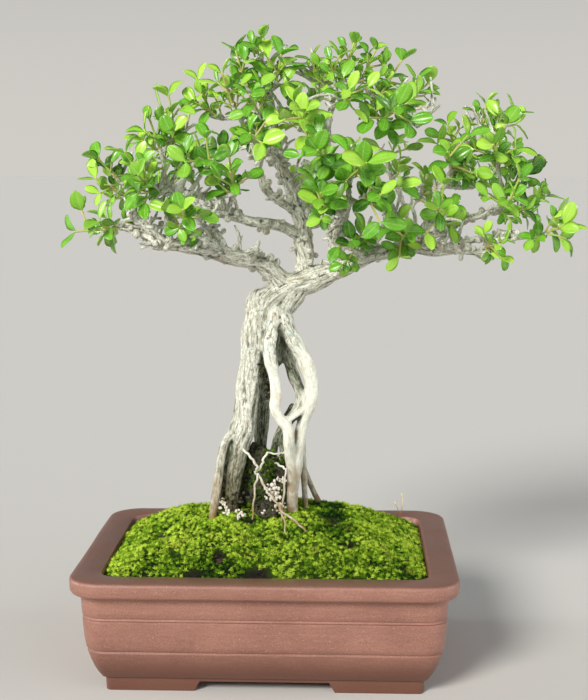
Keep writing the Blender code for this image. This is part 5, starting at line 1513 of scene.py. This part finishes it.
class Taken:
    """The space that is already filled: the wood, and each stem and leaf with the ball around it."""

    def __init__(self, wood):
        verts = [tuple(vert.co) for vert in wood.data.vertices]
        self.wood = BVHTree.FromPolygons(verts, [tuple(face.vertices) for face in wood.data.polygons])
        self.pieces = []

    def add(self, owner, solid):
        verts, faces = solid
        self.pieces.append((owner, *ball_of(verts), tree_of(verts, faces)))

    def meets(self, solid, skipped=lambda owner: False):
        """Whether the solid would cross anything but the pieces of the skipped owners."""
        verts, faces = solid
        tree = tree_of(verts, faces)
        if tree.overlap(self.wood):
            return True
        middle, reach = ball_of(verts)
        for owner, other_middle, other_reach, other_tree in self.pieces:
            if skipped(owner) or (middle - other_middle).length > reach + other_reach:
                continue
            if tree.overlap(other_tree):
                return True
        return False


def pair_distances(length, spacing):
    """Where along a stem its leaf pairs sit, the last one at its tip."""
    pairs = max(1, round(length / spacing))
    return [(length - NODE_HALF) * (pair + 1) / pairs for pair in range(pairs)]


def grow_stems(taken):
    """Every shoot's stem, bent clear of the wood and of the other stems."""
    stems = {}
    for name, base, tip, _ in SHOOTS:
        draw = seeded("stem", name)
        for attempt in range(STEM_TRIES):
            points = stem_points(from_pot(*base), from_pot(*tip), 0.5 * MM * attempt, draw)
            wide = plain_tube(points, [STEM_RADIUS] + [STEM_RADIUS + GAP] * 2)
            if not taken.meets(wide):
                break
        length = length_of(points)
        axis = {"owner": (name, 0), "points": points, "radius": STEM_RADIUS,
                "turn": draw.uniform(0, math.tau), "pairs": pair_distances(length, MAIN_LEAF_SPACING)}
        stems[name] = [axis]
        taken.add((name, 0), wide)
    return stems


def side_stem(taken, main, owner, distance, turn, draw):
    """A side stem that is clear of all else, or None."""
    spot, heading = along_points(main["points"], distance)
    side = turned_side(heading, turn)
    for _ in range(SIDE_TRIES):
        spread = math.radians(draw.uniform(42, 66))
        sway = any_way(draw) * 0.25
        way = heading * math.cos(spread) + side * math.sin(spread) + sway
        way = (way + Vector((0, 0, 0.15))).normalized()
        reach = max(0.52 * main["pairs"][-1], SHORTEST_SIDE) * draw.uniform(0.8, 1.1)
        clear_part = plain_tube([spot + way * 2 * MM, spot + way * (reach + MM)], [SIDE_RADIUS + GAP] * 2)
        if not taken.meets(clear_part, lambda other: other == main["owner"]):
            points = [spot, spot + way * reach]
            taken.add(owner, plain_tube(points, [SIDE_RADIUS] * 2))
            return {"owner": owner, "points": points, "radius": SIDE_RADIUS,
                    "turn": draw.uniform(0, math.tau), "pairs": pair_distances(reach, SIDE_LEAF_SPACING)}
    return None


def grow_side_stems(taken, name, axes):
    """Opposite side stems, two on a short shoot and three on a long one."""
    draw = seeded("sides", name)
    main = axes[0]
    length = main["pairs"][-1]
    turn = draw.uniform(0, math.tau)
    levels = ((0.36, (0, math.pi)),) if length < LONG_SHOOT else ((0.26, (0, math.pi)), (0.70, (0,)))
    for level, sides in levels:
        for side in sides:
            axis = side_stem(taken, main, (name, len(axes)), level * length, turn + side, draw)
            if axis:
                axes.append(axis)
        turn += math.pi / 2


def grow_leaf(taken, place, outward, draw, tries=LEAF_TRIES):
    """One leaf, turned and shortened until it is clear, or None."""
    owner, spot, heading, spread, turn, size = place

    def is_own(other):
        return other[0] == owner[0]

    def is_joined(other):
        return other == owner[:2] or other[:3] == owner[:3]

    for attempt in range(tries):
        stray = attempt / LEAF_TRIES
        tried_spread = spread + draw.uniform(-0.8, 0.5) * stray
        tried_turn = turn + draw.uniform(-0.8, 0.8) * stray
        sway = any_way(draw) * LEAF_SWAY
        way, up = leaf_frame(heading, tried_spread, tried_turn, outward, sway)
        reach = size * (1 - 0.45 * stray)
        free_part = blade_solid(spot + way * LEAF_FREE, way, up, reach - LEAF_FREE, LEAF_SPARE)
        whole = blade_solid(spot, way, up, reach, LEAF_SPARE)
        if not taken.meets(free_part, is_joined) and not taken.meets(whole, is_own):
            taken.add(owner, blade_solid(spot, way, up, reach))
            return {"owner": owner, "spot": spot, "way": way, "up": up, "reach": reach}
    return None


def grow_shoots(taken):
    """Each shoot's stems and its leaves."""
    stems = grow_stems(taken)
    for name, axes in stems.items():
        grow_side_stems(taken, name, axes)
    shoots = {}
    for name, _, _, length in SHOOTS:
        draw = seeded("leaves", name)
        leaves = []
        for axis in stems[name]:
            outward = (axis["points"][-1] - from_pot(*CROWN_MIDDLE)).normalized()
            for place in leaf_places(axis, length * MM, draw):
                leaves.append(grow_leaf(taken, place, outward, draw))
        shoots[name] = (stems[name], [leaf for leaf in leaves if leaf])
    return shoots


def grow_companions(taken, name, twig, length):
    """Smaller shoots that break from the old wood behind a shoot: their stems and leaves."""
    draw = seeded("companions", name)
    points, _ = twig
    reach = length_of(points)
    axes, leaves = [], []
    for number in range(COMPANIONS):
        for _ in range(SIDE_TRIES):
            spot, heading = along_points(points, reach * draw.uniform(0.35, 1.0))
            side = turned_side(heading, draw.uniform(0, math.tau))
            outward = (spot - from_pot(*CROWN_MIDDLE)).normalized()
            way = (heading * 0.5 + side * 0.8 + outward * 0.5 + Vector((0, 0, 0.3))).normalized()
            stem = draw.uniform(8, 17) * MM
            clear_part = plain_tube([spot + way * 2.5 * MM, spot + way * stem], [SIDE_RADIUS] * 2)
            if not taken.meets(clear_part):
                break
        else:
            continue
        bend = any_way(draw) * 0.8 * MM
        route = [spot, spot + way * stem * 0.55 + bend, spot + way * stem]
        axis = {"owner": (f"{name}_more", len(axes)), "points": route, "radius": 0.8 * SIDE_RADIUS,
                "turn": draw.uniform(0, math.tau)}
        axis["pairs"] = [0.5 * stem, 0.97 * stem] if number % 2 else [0.34 * stem, 0.66 * stem, 0.97 * stem]
        taken.add(axis["owner"], clear_part)
        axes.append(axis)
        for place in leaf_places(axis, length * draw.uniform(0.58, 0.95) * MM, draw):
            leaves.append(grow_leaf(taken, place, outward, draw, COMPANION_TRIES))
    return axes, [leaf for leaf in leaves if leaf]


def add_leaf(skin, leaf, tone, draw):
    """One thin closed leaf with a stalk, folded a little at its midrib, cupped and waved."""
    way, up = leaf["way"], leaf["up"]
    across = up.cross(way).normalized()
    up = way.cross(across).normalized()
    length = leaf["reach"]
    half_width = length * BLADE_WIDTH_SHARE / 2 * draw.uniform(0.74, 1.06)
    cup = draw.uniform(-0.04, 0.12) * length
    fold = draw.uniform(-0.01, 0.13) * length
    droop = draw.uniform(0.0, 0.26) * length
    twist = draw.uniform(-0.06, 0.06) * length
    phase = draw.uniform(0, math.tau)
    rows = np.array(LEAF_ROWS)
    columns = np.array(LEAF_COLUMNS)
    t = rows[:, 0][:, None]
    w = rows[:, 1][:, None]
    s = columns[None, :]
    aside = half_width * w * s
    lift = cup * (w * s) ** 2 + fold * np.abs(w * s) - droop * t * t + twist * w * s * t
    lift = lift + 0.022 * length * np.sin(phase + 9 * t) * np.abs(s) * w
    grid = (np.array(leaf["spot"])[None, None] + np.array(way)[None, None] * (length * t)[..., None]
            + np.array(across)[None, None] * aside[..., None])
    top = grid + np.array(up)[None, None] * (lift + TRUE_LEAF_THICKNESS / 2)[..., None]
    bottom = grid + np.array(up)[None, None] * (lift - TRUE_LEAF_THICKNESS / 2)[..., None]
    row_count, column_count = top.shape[:2]
    inner = list(range(1, column_count - 1))
    verts = np.vstack([top.reshape(-1, 3), bottom[:, inner].reshape(-1, 3)])
    below = row_count * column_count

    def under(row, column):
        if column in (0, column_count - 1):
            return row * column_count + column
        return below + row * len(inner) + column - 1

    faces = []
    for row in range(row_count - 1):
        for column in range(column_count - 1):
            here = row * column_count + column
            faces.append([here, here + column_count, here + column_count + 1, here + 1])
            faces.append([under(row, column), under(row, column + 1),
                          under(row + 1, column + 1), under(row + 1, column)])
    shape = lift.shape
    place = np.stack([np.broadcast_to(t, shape), np.broadcast_to(s, shape), np.full(shape, tone)], axis=2)
    blade = np.vstack([place.reshape(-1, 3), place[:, inner].reshape(-1, 3)])
    below_flag = np.concatenate([np.zeros(below), np.ones(row_count * len(inner))])
    skin.add(verts, faces, 0, blade=blade, under=below_flag)


def add_stem(skin, axis):
    """A green stem, a little swollen at each pair of leaves."""
    points = axis["points"]
    length = length_of(points)
    radii = [axis["radius"] * (1.0 - 0.3 * index / (len(points) - 1)) for index in range(len(points))]
    places, widths = smooth_route(points, radii, 1.4 * MM)
    along = np.linspace(0, length, len(places))
    for distance in axis["pairs"]:
        widths = widths * (1 + 0.35 * np.exp(-((along - distance) / (0.9 * MM)) ** 2))
    skin.add(*tube(places, widths, STEM_SIDES)[:2], 1, blade=(0.5, 0.5, 0.5), under=0.0)


def leaf_tone(draw, axis_pairs, pair):
    """How young a leaf is, from 0 to 1: those at the tip are the youngest."""
    return min(1.0, max(0.0, 0.34 + 0.34 * (pair + 1) / axis_pairs + draw.gauss(0, 0.2)))


def build_shoot(name, axes, leaves, surfaces, slot, *replaced):
    draw = seeded("look", name)
    mood = draw.gauss(0, 0.12)
    skin = Skin()
    for axis in axes:
        add_stem(skin, axis)
    for leaf in leaves:
        owner = leaf["owner"]
        pairs = len(axes[owner[1]]["pairs"]) if owner[1] < len(axes) else 1
        add_leaf(skin, leaf, min(1.0, max(0.0, leaf_tone(draw, pairs, owner[2]) + mood)), draw)
    return skin.build(name, surfaces, slot, *replaced)


# Light, floor and camera
def build_stage():
    corners = [(x * FLOOR_REACH, y * FLOOR_REACH, 0) for x, y in ((-1, -1), (1, -1), (1, 1), (-1, 1))]
    floor = object_of("floor", corners, [[0, 1, 2, 3]], [studio_floor()])
    bpy.context.scene.collection.objects.link(floor)
    bpy.context.scene.view_settings.view_transform = "Standard"


def build_studio_air():
    """Pale light from all round, brightest at the horizon and weaker from above."""
    world = bpy.data.worlds.new("studio")
    world.use_nodes = True
    tree = world.node_tree
    way = add(tree, "ShaderNodeTexCoord").outputs["Generated"]
    height = add(tree, AXES, {0: way}).outputs["Z"]
    air = coated(tree, "#e6e3dc", ("#84888d", height, 0.0, 0.5))
    background = tree.nodes["Background"]
    background.inputs["Strength"].default_value = 0.79
    tree.links.new(air, background.inputs["Color"])
    bpy.context.scene.world = world


def soft_sun(name, azimuth, height, width, power, colour):
    """A wide far light. The azimuth is measured from the viewer's side, positive to the right."""
    data = bpy.data.lights.new(name, "SUN")
    data.angle = math.radians(width)
    data.energy = power
    data.color = linear(colour)[:3]
    lamp = bpy.data.objects.new(name, data)
    turn, lift = math.radians(azimuth), math.radians(height)
    towards = Vector((math.sin(turn) * math.cos(lift), -math.cos(turn) * math.cos(lift), math.sin(lift)))
    lamp.location = towards * 2
    lamp.rotation_mode = "QUATERNION"
    lamp.rotation_quaternion = (-towards).to_track_quat("-Z", "Y")
    bpy.context.scene.collection.objects.link(lamp)


def build_camera():
    data = bpy.data.cameras.new("view")
    data.sensor_width = SENSOR_MM
    data.lens = CAMERA_LENS_MM
    camera = bpy.data.objects.new("view", data)
    camera.location = from_pot(*CAMERA_PLACE)
    camera.rotation_mode = "QUATERNION"
    camera.rotation_quaternion = CAMERA_AIM.to_track_quat("-Z", "Y")
    bpy.context.scene.collection.objects.link(camera)
    bpy.context.scene.camera = camera


def main():
    build_camera()
    build_stage()
    build_studio_air()
    for light in LIGHTS:
        soft_sun(*light)
    build_pot(stoneware())
    screen_surface = drain_plastic()
    for node, surface in (("drain_screen_left", screen_surface), ("drain_screen_right", screen_surface),
                          ("soil", potting_grit())):
        frame["nodes"][node].data.materials.clear()
        frame["nodes"][node].data.materials.append(surface)
    cushions = moss_cushions()
    moss = moss_green()
    build_carpet(moss, cushions)
    build_moss_half("moss_front", moss, cushions, True)
    build_moss_half("moss_back", moss, cushions, False)
    build_stone_moss(moss)
    build_dry_stalks(dry_stalk())
    build_stone(lava_stone())
    build_pumice(pumice())
    build_crumbs(lava_stone())
    bark_surface = bark()
    build_fine_roots(bark_surface)
    twigs = grow_twigs()
    build_wood(bark_surface)
    build_twigs(bark_surface, twigs)
    taken = Taken(frame["nodes"]["wood"])
    surfaces = [leaf_blade(), green_stem()]
    lengths = {name: length for name, _, _, length in SHOOTS}
    for number, (name, (axes, leaves)) in enumerate(grow_shoots(taken).items()):
        slot = ("young_leaf", "grown_leaf")[number % 2]
        more_axes, more_leaves = grow_companions(taken, name, twigs[name], lengths[name])
        for leaf in more_leaves:
            leaf["owner"] = (name, len(axes) + leaf["owner"][1], *leaf["owner"][2:])
        build_shoot(f"leafy_{name}", axes + more_axes, leaves + more_leaves, surfaces, slot, f"shoot_{name}")


main()
